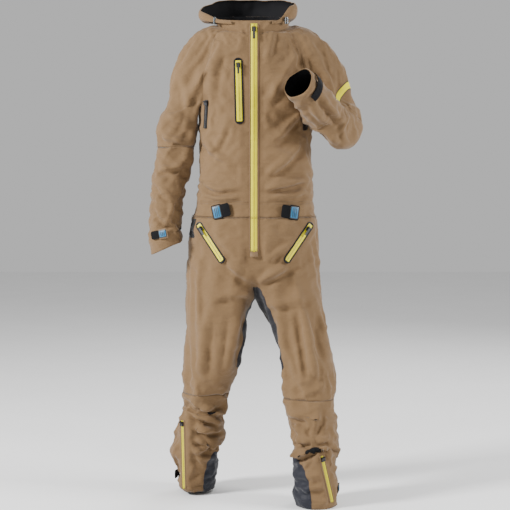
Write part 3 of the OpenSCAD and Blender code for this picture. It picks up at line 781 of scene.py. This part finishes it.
def shell_cloth(name):
    f = Finish(name, TAN[:3], 0.78, Sheen_Weight=0.12, Sheen_Roughness=0.5, Specular_IOR_Level=0.25)
    where = f.attribute("rest", "Vector")
    mottle = f.noise(where, 9.0, 4.0)
    fleck = f.noise(where, 420.0, 2.0)
    warp = f.noise(f.stretched(where, (1500, 1500, 160)), 1.0, 1.0)
    weft = f.noise(f.stretched(where, (160, 160, 1500)), 1.0, 1.0)
    weave = warp * 0.5 + weft * 0.5
    gap = f.attribute("seam_gap")
    seam = 1 - gap.over(0.3, 1.6)
    tone = ((mottle - 0.5) * 0.5 + (fleck - 0.5) * 0.45 + (weave - 0.5) * 0.5 + 0.5).clamp()
    cloth = f.blend(tone, rgba(*TAN_LOW), rgba(*TAN_HIGH))
    # painted shade: within about 2 mm of a seam the cloth is darkened as if the seam groove lay in shadow
    cloth = f.blend(seam * 0.2, cloth, TAN_SEAM_SHADE)
    guard, stretch = f.attribute("guard"), f.attribute("stretch")
    ribbed, band = f.attribute("ribbed"), f.attribute("band")
    in_guard, in_stretch = guard.over(0, 0.5), stretch.over(0, 0.5)
    in_ribbed = ribbed.over(0, 0.6)
    cloth = f.blend(in_stretch, cloth, f.blend(tone, rgba(0.004, 0.004, 0.006), rgba(0.012, 0.012, 0.017)))
    cloth = f.blend(in_guard, cloth, f.blend(tone, rgba(0.004, 0.0045, 0.009), rgba(0.010, 0.011, 0.020)))
    cloth = f.blend(in_ribbed, cloth, rgba(0.006, 0.006, 0.007))
    cloth = f.blend(band.over(-2.2, 0.4), cloth, rgba(0.02, 0.02, 0.02))
    cloth = f.blend(band.over(0, 0.4), cloth, YELLOW)
    f.set(Base_Color=cloth, Roughness=0.82 - 0.22 * in_guard + (fleck - 0.5) * 0.12 - in_ribbed * 0.05)
    ribs = f.node("ShaderNodeTexWave", {"bands_direction": "Z"}, Vector=where, Scale=30.0, Distortion=0.2)
    drape = f.noise(f.stretched(where, (24, 24, 46)), 1.0, 3.0) - 0.5
    crease = 1 - drape.maths("ABSOLUTE") * 6
    edge = (1 - guard.over(0, 3)) * guard.over(-3, 3) + (1 - stretch.over(0, 3)) * stretch.over(-3, 3)
    f.bump(weave * 0.5 + fleck * 0.3 + ribs * in_ribbed * 3 + in_guard * 1.6 + in_stretch * 0.8 - seam * 1.5
           + edge * 0.8 + crease.clamp() * 2.6, 0.5, 0.0006)
    return f.material


def lining_knit(name):
    f = Finish(name, (0.006, 0.006, 0.007), 0.85, Specular_IOR_Level=0.15)
    where = f.node("ShaderNodeTexCoord", {}, out="Object")
    knit = f.noise(f.stretched(where, (900, 900, 300)), 1.0)
    f.set(Base_Color=f.blend(knit, rgba(0.003, 0.003, 0.004), rgba(0.009, 0.009, 0.010)))
    f.bump(knit, 0.3, 0.0004)
    return f.material


SHELL = shell_cloth("shell_cloth")
LINING = lining_knit("lining")
print("shell nodes", len(SHELL.node_tree.nodes))

# %% [markdown]
# The trims are simpler: each mottles its colour and gets a bump of its own grain.

# %% Trim finishes
def trim(name, low, high, roughness, grain, depth, **constants):
    f = Finish(name, tuple((a + b) / 2 for a, b in zip(low, high)), roughness, **constants)
    where = f.node("ShaderNodeTexCoord", {}, out="Object")
    fine, broad = f.noise(where, grain, 3.0), f.noise(where, 60.0, 2.0)
    f.set(Base_Color=f.blend((fine * 0.6 + broad * 0.4 - 0.5) * 2.5 + 0.5, rgba(*low), rgba(*high)),
          Roughness=(broad - 0.5) * 0.25 + roughness)
    f.bump(fine, 0.4, depth)
    return f.material


ZIP_TAPE = trim("zip_tape", (0.60, 0.52, 0.001), (0.72, 0.64, 0.002), 0.5, 900, 0.0004, Sheen_Weight=0.1)
ZIP_TEETH = trim("zip_teeth", (0.50, 0.43, 0.001), (0.62, 0.55, 0.002), 0.35, 1200, 0.0002)
DARK_TEETH = trim("dark_teeth", (0.010, 0.010, 0.011), (0.03, 0.03, 0.032), 0.35, 1200, 0.0002)
SURROUND = trim("zip_surround", (0.004, 0.004, 0.005), (0.012, 0.012, 0.014), 0.5, 700, 0.0003,
                Specular_IOR_Level=0.2)
METAL = trim("slider_metal", (0.02, 0.02, 0.022), (0.06, 0.06, 0.065), 0.3, 500, 0.0001, Metallic=0.9)
PULLER = trim("puller_rubber", (0.012, 0.012, 0.012), (0.03, 0.03, 0.03), 0.45, 600, 0.0002)
PLASTIC = trim("hard_plastic", (0.012, 0.016, 0.018), (0.035, 0.045, 0.05), 0.32, 400, 0.0001,
               Coat_Weight=0.3)
BLUE = trim("tab_rubber", (0.002, 0.10, 0.22), (0.004, 0.15, 0.30), 0.4, 500, 0.0002, Coat_Weight=0.15)
HOOK = trim("hook_strap", (0.003, 0.003, 0.004), (0.010, 0.010, 0.011), 0.85, 1500, 0.0008,
            Specular_IOR_Level=0.1)
WEB = trim("strap_cloth", TAN_LOW, TAN_HIGH, 0.75, 900, 0.0005)
THREAD = trim("thread", (0.10, 0.06, 0.028), (0.15, 0.09, 0.044), 0.6, 1500, 0.0002)
print("finishes", len(bpy.data.materials))

# %% [markdown]
# ## Cutting the skin into pieces
# The skin is cut where the knees and elbows need their own pieces. Each piece gets a wall turned inward,
# black inside, and stands for the CAD nodes whose place it takes.

# %% Pieces
import bmesh


def smooth_shade(obj):
    obj.data.polygons.foreach_set("use_smooth", np.ones(len(obj.data.polygons), bool))
    obj.data.update()


def wall(obj, thickness=0.0014):
    obj.data.materials.clear()
    obj.data.materials.append(SHELL)
    obj.data.materials.append(LINING)
    mod = obj.modifiers.new("wall", "SOLIDIFY")
    mod.thickness, mod.offset, mod.use_rim = thickness, -1, True
    mod.material_offset, mod.material_offset_rim = 1, 0
    applied(obj)
    smooth_shade(obj)


cloth_area = {}


def piece(name, where, *nodes):
    bm = bmesh.new()
    bm.from_mesh(skin.data)
    bmesh.ops.delete(bm, geom=[p for p in bm.faces if p.material_index != where], context="FACES")
    for p in bm.faces:
        p.material_index = 0
    mesh = bpy.data.meshes.new(name)
    bm.to_mesh(mesh)
    bm.free()
    obj = link(name, mesh)
    cloth_area[name] = sum(p.area for p in mesh.polygons)
    wall(obj)
    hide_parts(*nodes)
    print(name, len(obj.data.polygons), "faces", "%.3f m2" % cloth_area[name])
    return obj


jacket = piece("jacket_cloth", JACKET, "front_right", "front_left", "back", "side_right", "side_left",
               "shoulder_right", "shoulder_left", "sleeve_right", "sleeve_left", "waistband", "collar")
trousers = piece("trouser_cloth", TROUSERS, "hip_right", "hip_left", "thigh_right", "thigh_left",
                 "inner_panel_right", "inner_panel_left", "back_elastic")
lower_r = piece("lower_leg_cloth_right", LEG_RIGHT, "knee_right", "shin_right", "ankle_guard_right")
lower_l = piece("lower_leg_cloth_left", LEG_LEFT, "knee_left", "shin_left", "ankle_guard_left")
arm_r = piece("forearm_cloth_right", ARM_RIGHT, "elbow_right", "forearm_right")
arm_l = piece("forearm_cloth_left", ARM_LEFT, "elbow_left", "forearm_left")
for obj in (jacket, trousers):
    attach(obj, "suit")

# %% [markdown]
# The pieces below the knees and elbows only have their transforms baked into their points; they are not
# blended across the joints.

# %% Knees and elbows
def at(p):
    return tuple(metres(p))


KNEE_END_R, KNEE_END_L, ELBOW_END_R, ELBOW_SPAN_L = 262, 268, 1020, 62
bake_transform(lower_r)
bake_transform(lower_l)
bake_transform(arm_r)
turn_l = unit(along_l - up_l)
at(ELBOW_L + ELBOW_SPAN_L * turn_l)
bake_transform(arm_l)

# %% [markdown]
# ## Hood
# The hood lies back as an open bowl, a grid of rings bent round the neck, crumpled and lined in black. Its
# ends run forward and sink behind the front of the collar. A profile row is (half width, back depth,
# height, how much the back is raised), from the neck out to the rim.

# %% Hood bowl
HOOD = np.array([-18.0, -4.0])
columns = np.radians(np.linspace(-58, 240, 91))
PROFILE = [(116, 86, 1447, 6), (128, 98, 1449, 2), (139, 126, 1450, -4), (146, 148, 1456, 4),
           (149, 162, 1463, 16), (150, 167, 1470, 32), (149, 166, 1477, 46), (146, 160, 1482, 52),
           (143, 154, 1483, 53)]
rows = []
for k, (a, b, height, lift) in enumerate(PROFILE):
    back = np.clip(np.sin(columns), 0, 1)
    left = smooth((np.cos(columns) - 0.2) / 0.7)
    t = k / (len(PROFILE) - 1)
    front = np.clip(-np.sin(columns), 0, 1)
    px = HOOD[0] + (a - 26 * t * front) * np.cos(columns)
    py = HOOD[1] + np.where(np.sin(columns) > 0, b, 92 - 10 * t) * np.sin(columns)
    pz = height + lift * back + left * (1 - back) * 22 * t - front * 30 * t
    # past each side the bowl shrinks onto the collar, so its rim runs down to the throat
    end = smooth((-np.sin(columns) - 0.30) / 0.55)
    px = mix(px, NECK[0] - 8 + (116 + 3 * t) * np.cos(columns), end)
    py = mix(py, -2 + (84 + 3 * t) * np.sin(columns), end)
    pz = mix(pz, 1436 + 8 * t, end)
    rows.append(np.stack([px, py, pz], 1))
grid = np.concatenate(rows)
n = len(columns)
faces = [(k * n + i, k * n + i + 1, (k + 1) * n + i + 1, (k + 1) * n + i)
         for k in range(len(PROFILE) - 1) for i in range(n - 1)]
mesh = bpy.data.meshes.new("hood_cloth")
mesh.from_pydata(metres(grid).tolist(), [], faces)
hood = link("hood_cloth", mesh)
subdivide(hood, 2)
p, no = coords(hood), normals(hood)
q = p * 1000 + NECK
rim = smooth((q[:, 2] - 1470) / 40)
wave = noise_at(p, 14) * 7 + noise_at(p, 36) * 2.6
put(hood, p + no * (wave * (0.35 + 0.65 * rim) / 1000)[:, None])
for name in ("guard", "stretch", "ribbed", "band"):
    store(hood, name, np.full(len(p), -50.0))
store(hood, "seam_gap", np.minimum(np.abs(q[:, 0] + 60), np.abs(q[:, 0] - 24)))
store(hood, "rest", p, "FLOAT_VECTOR")
cloth_area["hood_cloth"] = sum(f.area for f in hood.data.polygons)
wall(hood, 0.002)
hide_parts("hood", "hood_lining")
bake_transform(hood)
print("hood", len(hood.data.polygons), "faces")

# %% [markdown]
# ## Zips
# A zip is a woven tape with a coil down its middle. The tape is a thin crowned ribbon along the zip's own
# line. The coil is Geometry Nodes: one small tooth, set again and again along that line.

# %% Ribbons and slabs
SHARP = math.radians(40)  # edges sharper than this are rounded


def axes(p, q, out):
    p, q, out = (np.asarray(v, float) for v in (p, q, out))
    d = unit(q - p)
    m = unit(out - (out @ d) * d)
    return p, np.cross(d, m), d, m


def build(name, parts, body, nodes=(), bevel=0.0005):
    """parts: (points, faces, material) in millimetres, joined as one piece that rides on a body."""
    mesh = bpy.data.meshes.new(name)
    verts, polys, mats, used = [], [], [], []
    for pts, fcs, material in parts:
        base = len(verts)
        verts += metres(pts).tolist()
        polys += [tuple(base + i for i in fc) for fc in fcs]
        if material not in used:
            used.append(material)
        mats += [used.index(material)] * len(fcs)
    mesh.from_pydata(verts, [], polys)
    for m in used:
        mesh.materials.append(m)
    mesh.polygons.foreach_set("material_index", mats)
    obj = link(name, mesh)
    bm = bmesh.new()
    bm.from_mesh(mesh)
    bmesh.ops.recalc_face_normals(bm, faces=bm.faces)
    bm.to_mesh(mesh)
    bm.free()
    if bevel:
        mod = obj.modifiers.new("edge", "BEVEL")
        mod.width, mod.segments, mod.limit_method, mod.angle_limit = bevel, 2, "ANGLE", SHARP
        applied(obj)
    smooth_shade(obj)
    if nodes:
        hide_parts(*nodes)
    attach(obj, body)
    print(name, len(obj.data.polygons), "faces")
    return obj


def ribbon(place, x0, x1, y0, y1, z0, z1, steps=60, wave=0.0, crown=0.3):
    """A strip along y, crowned across, open nowhere."""
    p, t, d, m = place
    ys = np.linspace(y0, y1, steps + 1)
    mid, half = (x0 + x1) / 2, (x1 - x0) / 2
    ring = [(-1, z0), (-1, (z0 + z1) / 2), (-0.86, z1), (-0.4, z1 + crown), (0.4, z1 + crown), (0.86, z1),
            (1, (z0 + z1) / 2), (1, z0)]
    pts = [p + (mid + u * half + wave * math.sin(y / 31)) * t + y * d + h * m for y in ys for u, h in ring]
    k = len(ring)
    fcs = [(i * k + j, i * k + (j + 1) % k, (i + 1) * k + (j + 1) % k, (i + 1) * k + j)
           for i in range(steps) for j in range(k)]
    fcs += [tuple(range(k - 1, -1, -1)), tuple(steps * k + j for j in range(k))]
    return pts, fcs


def outline(x0, x1, y0, y1, r, n=7):
    r = min(r, (x1 - x0) / 2 - 1e-3, (y1 - y0) / 2 - 1e-3)
    out = []
    corners = ((x1 - r, y1 - r, 0), (x0 + r, y1 - r, 90), (x0 + r, y0 + r, 180), (x1 - r, y0 + r, 270))
    for cx, cy, start in corners:
        for k in range(n):
            w = math.radians(start + 90 * k / (n - 1))
            out.append((cx + r * math.cos(w), cy + r * math.sin(w)))
    return out


def slab(place, shape, z0, z1, bend=0.0):
    """An outline raised from z0 to z1; bend sinks its ends by a parabola."""
    p, t, d, m = place
    k = len(shape)
    ys = [s[1] for s in shape]
    c, h = (max(ys) + min(ys)) / 2, (max(ys) - min(ys)) / 2
    pts = [p + a * t + b * d + (z - bend * ((b - c) / h) ** 2) * m for z in (z0, z1) for a, b in shape]
    fcs = [(i, (i + 1) % k, k + (i + 1) % k, k + i) for i in range(k)]
    return pts, fcs + [tuple(range(k - 1, -1, -1)), tuple(range(k, 2 * k))]


def frame_ring(place, outer, inner, z0, z1):
    p, t, d, m = place
    k = len(outer)
    pts = [p + a * t + b * d + z * m for shape, z in ((outer, z0), (outer, z1), (inner, z1), (inner, z0))
           for a, b in shape]
    fcs = [(s * k + i, s * k + (i + 1) % k, ((s + 1) % 4) * k + (i + 1) % k, ((s + 1) % 4) * k + i)
           for s in range(4) for i in range(k)]
    return pts, fcs


# %% [markdown]
# The tree takes a line of points, each with the direction that faces out of the cloth. It resamples the
# line at the pitch, sets a small block on every point, turns it along the line and outward, and makes the
# blocks real, because an export drops instances. The same tree sews the stitches.

# %% Geometry Nodes tree for teeth and stitches
def row_tree(name, material, pitch, width, length, height):
    tree = bpy.data.node_groups.new(name, "GeometryNodeTree")
    face = tree.interface
    face.new_socket("Geometry", in_out="INPUT", socket_type="NodeSocketGeometry")
    sizes = {}
    for label, value in (("Pitch", pitch), ("Width", width), ("Length", length), ("Height", height)):
        socket = face.new_socket(label, in_out="INPUT", socket_type="NodeSocketFloat")
        socket.default_value = value
        sizes[label] = socket.identifier
    face.new_socket("Geometry", in_out="OUTPUT", socket_type="NodeSocketGeometry")
    nodes, links = tree.nodes, tree.links

    def node(kind, **settings):
        made = nodes.new(kind)
        for key, value in settings.items():
            setattr(made, key, value)
        return made

    start, end = node("NodeGroupInput"), node("NodeGroupOutput")
    curve, even = node("GeometryNodeMeshToCurve"), node("GeometryNodeResampleCurve", mode="LENGTH")
    size, block = node("ShaderNodeCombineXYZ"), node("GeometryNodeMeshCube")
    tangent = node("GeometryNodeInputTangent")
    outward = node("GeometryNodeInputNamedAttribute", data_type="FLOAT_VECTOR")
    outward.inputs["Name"].default_value = "outward"
    lengthwise = node("FunctionNodeAlignRotationToVector", axis="Y")
    upright = node("FunctionNodeAlignRotationToVector", axis="Z", pivot_axis="Y")
    spread, real = node("GeometryNodeInstanceOnPoints"), node("GeometryNodeRealizeInstances")
    paint = node("GeometryNodeSetMaterial")
    paint.inputs["Material"].default_value = material
    for a, b in ((start.outputs["Geometry"], curve.inputs["Mesh"]),
                 (curve.outputs["Curve"], even.inputs["Curve"]),
                 (start.outputs["Pitch"], even.inputs["Length"]),
                 (start.outputs["Width"], size.inputs["X"]),
                 (start.outputs["Length"], size.inputs["Y"]),
                 (start.outputs["Height"], size.inputs["Z"]),
                 (size.outputs["Vector"], block.inputs["Size"]),
                 (even.outputs["Curve"], spread.inputs["Points"]),
                 (block.outputs["Mesh"], spread.inputs["Instance"]),
                 (tangent.outputs["Tangent"], lengthwise.inputs["Vector"]),
                 (lengthwise.outputs["Rotation"], upright.inputs["Rotation"]),
                 (outward.outputs["Attribute"], upright.inputs["Vector"]),
                 (upright.outputs["Rotation"], spread.inputs["Rotation"]),
                 (spread.outputs["Instances"], real.inputs["Geometry"]),
                 (real.outputs["Geometry"], paint.inputs["Geometry"]),
                 (paint.outputs["Geometry"], end.inputs["Geometry"])):
        links.new(a, b)
    return tree, sizes


def row(name, lines, body, tree, sizes, **changes):
    """lines: lists of (point, outward) in metres."""
    verts, edges, outs = [], [], []
    for line in lines:
        base = len(verts)
        verts += [tuple(p) for p, _ in line]
        outs += [tuple(o) for _, o in line]
        edges += [(base + i, base + i + 1) for i in range(len(line) - 1)]
    mesh = bpy.data.meshes.new(name)
    mesh.from_pydata(verts, edges, [])
    obj = link(name, mesh)
    store(obj, "outward", outs, "FLOAT_VECTOR")
    mod = obj.modifiers.new("row", "NODES")
    mod.node_group = tree
    for label, value in changes.items():
        mod[sizes[label]] = value
    applied(obj)
    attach(obj, body)
    print(name, len(obj.data.polygons), "faces")
    return obj


TEETH = row_tree("zip_coil", ZIP_TEETH, 0.0022, 0.0042, 0.0013, 0.0016)
DARK = row_tree("dark_coil", DARK_TEETH, 0.0022, 0.0042, 0.0013, 0.0016)
STITCH = row_tree("stitch", THREAD, 0.0042, 0.0007, 0.0030, 0.0007)


def coil(name, place, length, lift, body, tree, width=0.0042):
    p, t, d, m = place
    line = [(metres(p + y * d + lift * m), m) for y in np.linspace(0, length, 40)]
    obj = row(name, [line], body, *tree, Width=width)
    return obj


# %% Front zip
def span(p, q):
    return float(np.linalg.norm(np.asarray(q, float) - np.asarray(p, float)))


FRONT_FOOT, FRONT_TOP = (0, -125.5, 762), (0, front_y(1436) - 1.5, 1436)
FRONT = axes(FRONT_FOOT, FRONT_TOP, (0, -1, 0))
front_length = span(FRONT_FOOT, FRONT_TOP)
parts = [(*ribbon(FRONT, -10, 10, 0, front_length, -1.5, 1.0, crown=0.15), ZIP_TAPE)]
parts += [(*ribbon(FRONT, s * 11.6 - 1.6, s * 11.6 + 1.6, -2, front_length - 2, -2, 1.7, crown=0.3), WEB)
          for s in (-1, 1)]
parts += [(*slab(FRONT, outline(-12, 12, -16, 1, 2), -1.5, 1.6), WEB)]
build("front_zip_tape", parts, "suit", ("front_zip", "placket"), bevel=0)
coil("front_zip_coil", FRONT, front_length, 1.7, "suit", TEETH)

# %% [markdown]
# Pocket zips sit in a welded surround: a black plate with a raised rim round a slot, and a narrow bright
# tape in the slot.

# %% Pocket zips
def pocket_zip(name, p, q, out, width, node):
    place = axes(p, q, out)
    length = span(p, q)
    w = width / 2
    outer, mid, inner = (outline(u - w, w - u, u - w, length + w - u, w - u) for u in (0, 1.6, 4.0))
    parts = [(*slab(place, outer, -3.0, 0.2), SURROUND), (*frame_ring(place, mid, inner, 0.0, 1.5), SURROUND),
             (*ribbon(place, 4.4 - w, w - 4.4, -5, length + 5, -0.5, 0.7, 40, crown=0.1), ZIP_TAPE)]
    build(name, parts, "suit", (node,), bevel=0.0003)
    coil(name + "_coil", place, length, 1.1, "suit", TEETH, 0.0030)


pocket_zip("chest_zip_welded", (-43, -99, 1152), (-47, -87, 1322), (0, -1, 0), 27, "chest_zip")
pocket_zip("hand_zip_welded_right", (-98, -114, 738), (-164, -72, 836), (-0.45, -1, 0), 24, "hand_zip_right")
pocket_zip("hand_zip_welded_left", (100, -114, 738), (168, -71, 836), (0.45, -1, 0), 24, "hand_zip_left")

# %% [markdown]
# The vents under the arms are plain black zips. The leg zips are bright, between two tan flaps.

# %% Vent and leg zips
def plain_zip(name, p, q, out, width, tape, tree, body, node, flaps=False):
    place = axes(p, q, out)
    length = span(p, q)
    parts = [(*ribbon(place, -width / 2, width / 2, 0, length, -4, 0.7, 40, crown=0.2), tape)]
    if flaps:
        flap = width / 2 + 2
        parts += [(*ribbon(place, s * flap - 2.6, s * flap + 2.6, -1, length + 2, -6, 1.3, 40, crown=0.5), WEB)
                  for s in (-1, 1)]
    build(name, parts, body, (node,), bevel=0)
    coil(name + "_coil", place, length, 1.5, body, tree, 0.0040)


plain_zip("vent_zip_right", (-147, -47, 1128), (-142, -52, 1212), (-0.7, -1, 0), 14, SURROUND, DARK, "suit",
          "pit_zip_right")
plain_zip("vent_zip_left", (153, -47, 1122), (147, -52, 1202), (0.7, -1, 0), 14, SURROUND, DARK, "suit",
          "pit_zip_left")
plain_zip("leg_zip_tape_right", (-216, -12, 24), (-219, -28, 238), (-0.75, -0.8, 0), 11, ZIP_TAPE, TEETH,
          "lower_leg_right", "leg_zip_right", True)
plain_zip("leg_zip_tape_left", (232, -161, 20), (200, -176, 160), (0.6, -0.9, 0), 11, ZIP_TAPE, TEETH,
          "lower_leg_left", "leg_zip_left", True)

# %% [markdown]
# ## Tabs
# Each tab is a strap sewn at one end, with a moulded rubber pad on it that carries plain ribs only. The
# strap on the left cuff has no pad and is bent round the forearm, as a row of short flat links.

# %% Tabs
BARS = 3  # raised ribs on a pad


def tab(name, p, q, out, width, body, strap=HOOK):
    place = axes(p, q, out)
    length = span(p, q)
    w = width / 2
    split = 0.52 * length
    parts = [(*slab(place, outline(-w, w, 0, split + 3, 5), 0, 2.2, 0.5), strap),
             (*slab(place, outline(-w + 2.5, w - 2.5, split - 4, length, 6), 0.2, 2.4, 0.7), HOOK),
             (*slab(place, outline(-w + 3, w - 3, 2.5, split, 3.5), 2.0, 3.1, 0.2), PULLER),
             (*slab(place, outline(-w + 6, w - 6, 5, split - 2.5, 2.5), 2.9, 3.7, 0.1), BLUE)]
    for k in range(BARS):
        y = 5 + (split - 7.5) * (k + 1) / (BARS + 1)
        parts.append((*slab(place, outline(-w + 8, w - 8, y - 1.1, y + 1.1, 1.0), 3.5, 4.3), PULLER))
    build(name, parts, body, (body,))


tab("waist_strap_right", (-124, -91, 874), (-72, -114, 888), (-0.45, -1, 0), 44, "waist_tab_right")
tab("waist_strap_left", (134, -88, 874), (82, -113, 882), (0.45, -1, 0), 44, "waist_tab_left")
tab("cuff_strap_right", (-258, -91, 816), (-308, -71, 806), (-0.4, -1, 0), 30, "cuff_tab_right", WEB)
centre = ELBOW_L + (reach_l - 34) * along_l
low_l = np.array([0.84, -0.46, 0.29])
low_l = unit(low_l - (low_l @ along_l) * along_l)
cross_l = np.cross(along_l, low_l)
STRAP_RADIUS, HALF_LINK, HALF_STRAP = 53.5, 5.6, 13
parts = []
for k in range(9):
    turn_k = math.radians(-52 + 11 * k)
    out_k = math.cos(turn_k) * low_l + math.sin(turn_k) * cross_l
    way_k = math.cos(turn_k) * cross_l - math.sin(turn_k) * low_l
    mid_k = centre + STRAP_RADIUS * out_k
    place = axes(mid_k - HALF_LINK * way_k, mid_k + HALF_LINK * way_k, out_k)
    parts.append((*slab(place, outline(-HALF_STRAP, HALF_STRAP, 0, 2 * HALF_LINK, 0.6), 0, 2.2), HOOK))
build("cuff_strap_left", parts, "cuff_tab_left", ("cuff_tab_left",))
tab("ankle_strap_right", (-246, 44, 54), (-235, 92, 52), (-1, 0.2, 0), 26, "ankle_tab_right")
tab("ankle_strap_left", (250, -132, 52), (257, -84, 50), (1, -0.1, 0), 26, "ankle_tab_left")

# %% [markdown]
# ## Stitches
# Topstitching runs beside the seams. The seam edges of each rigid piece are chained into lines, moved a
# few millimetres to one side on the cloth, and sewn by the same tree as the zip teeth.

# %% Topstitching
def seam_lines(obj, offset):
    bm = bmesh.new()
    bm.from_mesh(obj.data)
    bm.verts.ensure_lookup_table()
    edges = [e for e in bm.edges if e.seam and all(f.material_index == 0 for f in e.link_faces)]
    left, lines = set(edges), []
    at_vert = {}
    for e in edges:
        for v in e.verts:
            at_vert.setdefault(v.index, []).append(e)
    while left:
        first = min(left, key=lambda e: e.index)
        left.discard(first)
        chain = [first.verts[0], first.verts[1]]
        for grow in (1, 0):
            while True:
                tip, before = (chain[-1], chain[-2]) if grow else (chain[0], chain[1])
                d = (tip.co - before.co).normalized()
                best = None
                for e in at_vert[tip.index]:
                    if e in left:
                        turn = (e.other_vert(tip).co - tip.co).normalized().dot(d)
                        if turn > 0.6 and (best is None or turn > best[0]):
                            best = (turn, e)
                if best is None:
                    break
                left.discard(best[1])
                chain.insert(len(chain) if grow else 0, best[1].other_vert(tip))
        if len(chain) > 6:
            line = []
            for i, v in enumerate(chain):
                d = (chain[min(i + 1, len(chain) - 1)].co - chain[max(i - 1, 0)].co).normalized()
                line.append((v.co + d.cross(v.normal) * offset + v.normal * 0.0006, tuple(v.normal)))
            lines.append(line)
    bm.free()
    return lines


BESIDE = 0.004  # from a seam to its stitches
row("jacket_stitches", seam_lines(jacket, BESIDE) + seam_lines(jacket, -BESIDE), "suit", *STITCH)
row("trouser_stitches", seam_lines(trousers, BESIDE), "suit", *STITCH)

# %% [markdown]
# ## Hardware
# Sliders, pullers, cord locks and the hang loop keep their CAD shapes, which are right, and get real
# finishes and a rounded edge.

# %% Hardware finishes
def finish_node(name, material):
    obj = NODES[name]
    obj.data.materials.clear()
    obj.data.materials.append(material)
    mod = obj.modifiers.new("edge", "BEVEL")
    mod.width, mod.segments, mod.limit_method, mod.angle_limit = 0.00035, 2, "ANGLE", SHARP


for name in NODES:
    if name.endswith("slider") or "_slider_" in name:
        finish_node(name, METAL)
    elif name.endswith("pull") or "_pull_" in name:
        finish_node(name, PULLER)
    elif name.startswith("cord_lock"):
        finish_node(name, PLASTIC)
    elif name == "hang_loop":
        finish_node(name, HOOK)

# %% [markdown]
# The skin is removed now that it is cut into pieces, and the area of every cloth piece is printed.

# %% Cloth facts
bpy.data.objects.remove(skin)
print({k: round(v, 3) for k, v in cloth_area.items()})

# %% [markdown]
# ## Floor, light and camera
# A pale floor, a strong key light from the wearer's right, a softer one from the left, one behind, and an
# even pale sky.

# %% Stage
mesh = bpy.data.meshes.new("floor")
FLOOR_Z = -1.4362
mesh.from_pydata([(x, y, FLOOR_Z) for x, y in ((-6, -6), (6, -6), (6, 9), (-6, 9))], [], [(0, 1, 2, 3)])
floor = link("floor", mesh)
f = Finish("floor_paint", (0.85, 0.85, 0.85), 0.9)
where = f.node("ShaderNodeTexCoord", {}, out="Object")
f.set(Base_Color=f.blend(f.noise(where, 3.0), rgba(0.83, 0.83, 0.83), rgba(0.88, 0.88, 0.88)))
floor.data.materials.append(f.material)


def lamp(name, where, aim, size, power, colour=(1, 1, 1)):
    light = bpy.data.lights.new(name, "AREA")
    light.shape, light.size, light.energy, light.color = "SQUARE", size, power, colour
    obj = bpy.data.objects.new(name, light)
    bpy.context.scene.collection.objects.link(obj)
    obj.location = where
    obj.rotation_euler = (Vector(aim) - Vector(where)).to_track_quat("-Z", "Y").to_euler()


lamp("key", (-3.2, -1.7, 1.1), (0, 0, -0.6), 0.8, 330)
lamp("side", (3.0, -0.9, 0.5), (0, 0, -0.7), 1.0, 120)
lamp("rim", (1.5, 2.6, 1.4), (0, 0, -0.5), 1.6, 60)
world = bpy.data.worlds.new("studio")
world.use_nodes = True
sky = world.node_tree.nodes["Background"]
sky.inputs["Color"].default_value = (1, 1, 1, 1)
sky.inputs["Strength"].default_value = 0.55
bpy.context.scene.world = world

camera = bpy.data.objects.new("camera", bpy.data.cameras.new("camera"))
bpy.context.scene.collection.objects.link(camera)
AIM = Vector((0.003, 0, -0.692))
camera.location = (0.003, -4.0, -0.436)
camera.rotation_euler = (AIM - camera.location).to_track_quat("-Z", "Y").to_euler()
camera.data.lens, camera.data.sensor_width = 92.6, 36
bpy.context.scene.camera = camera
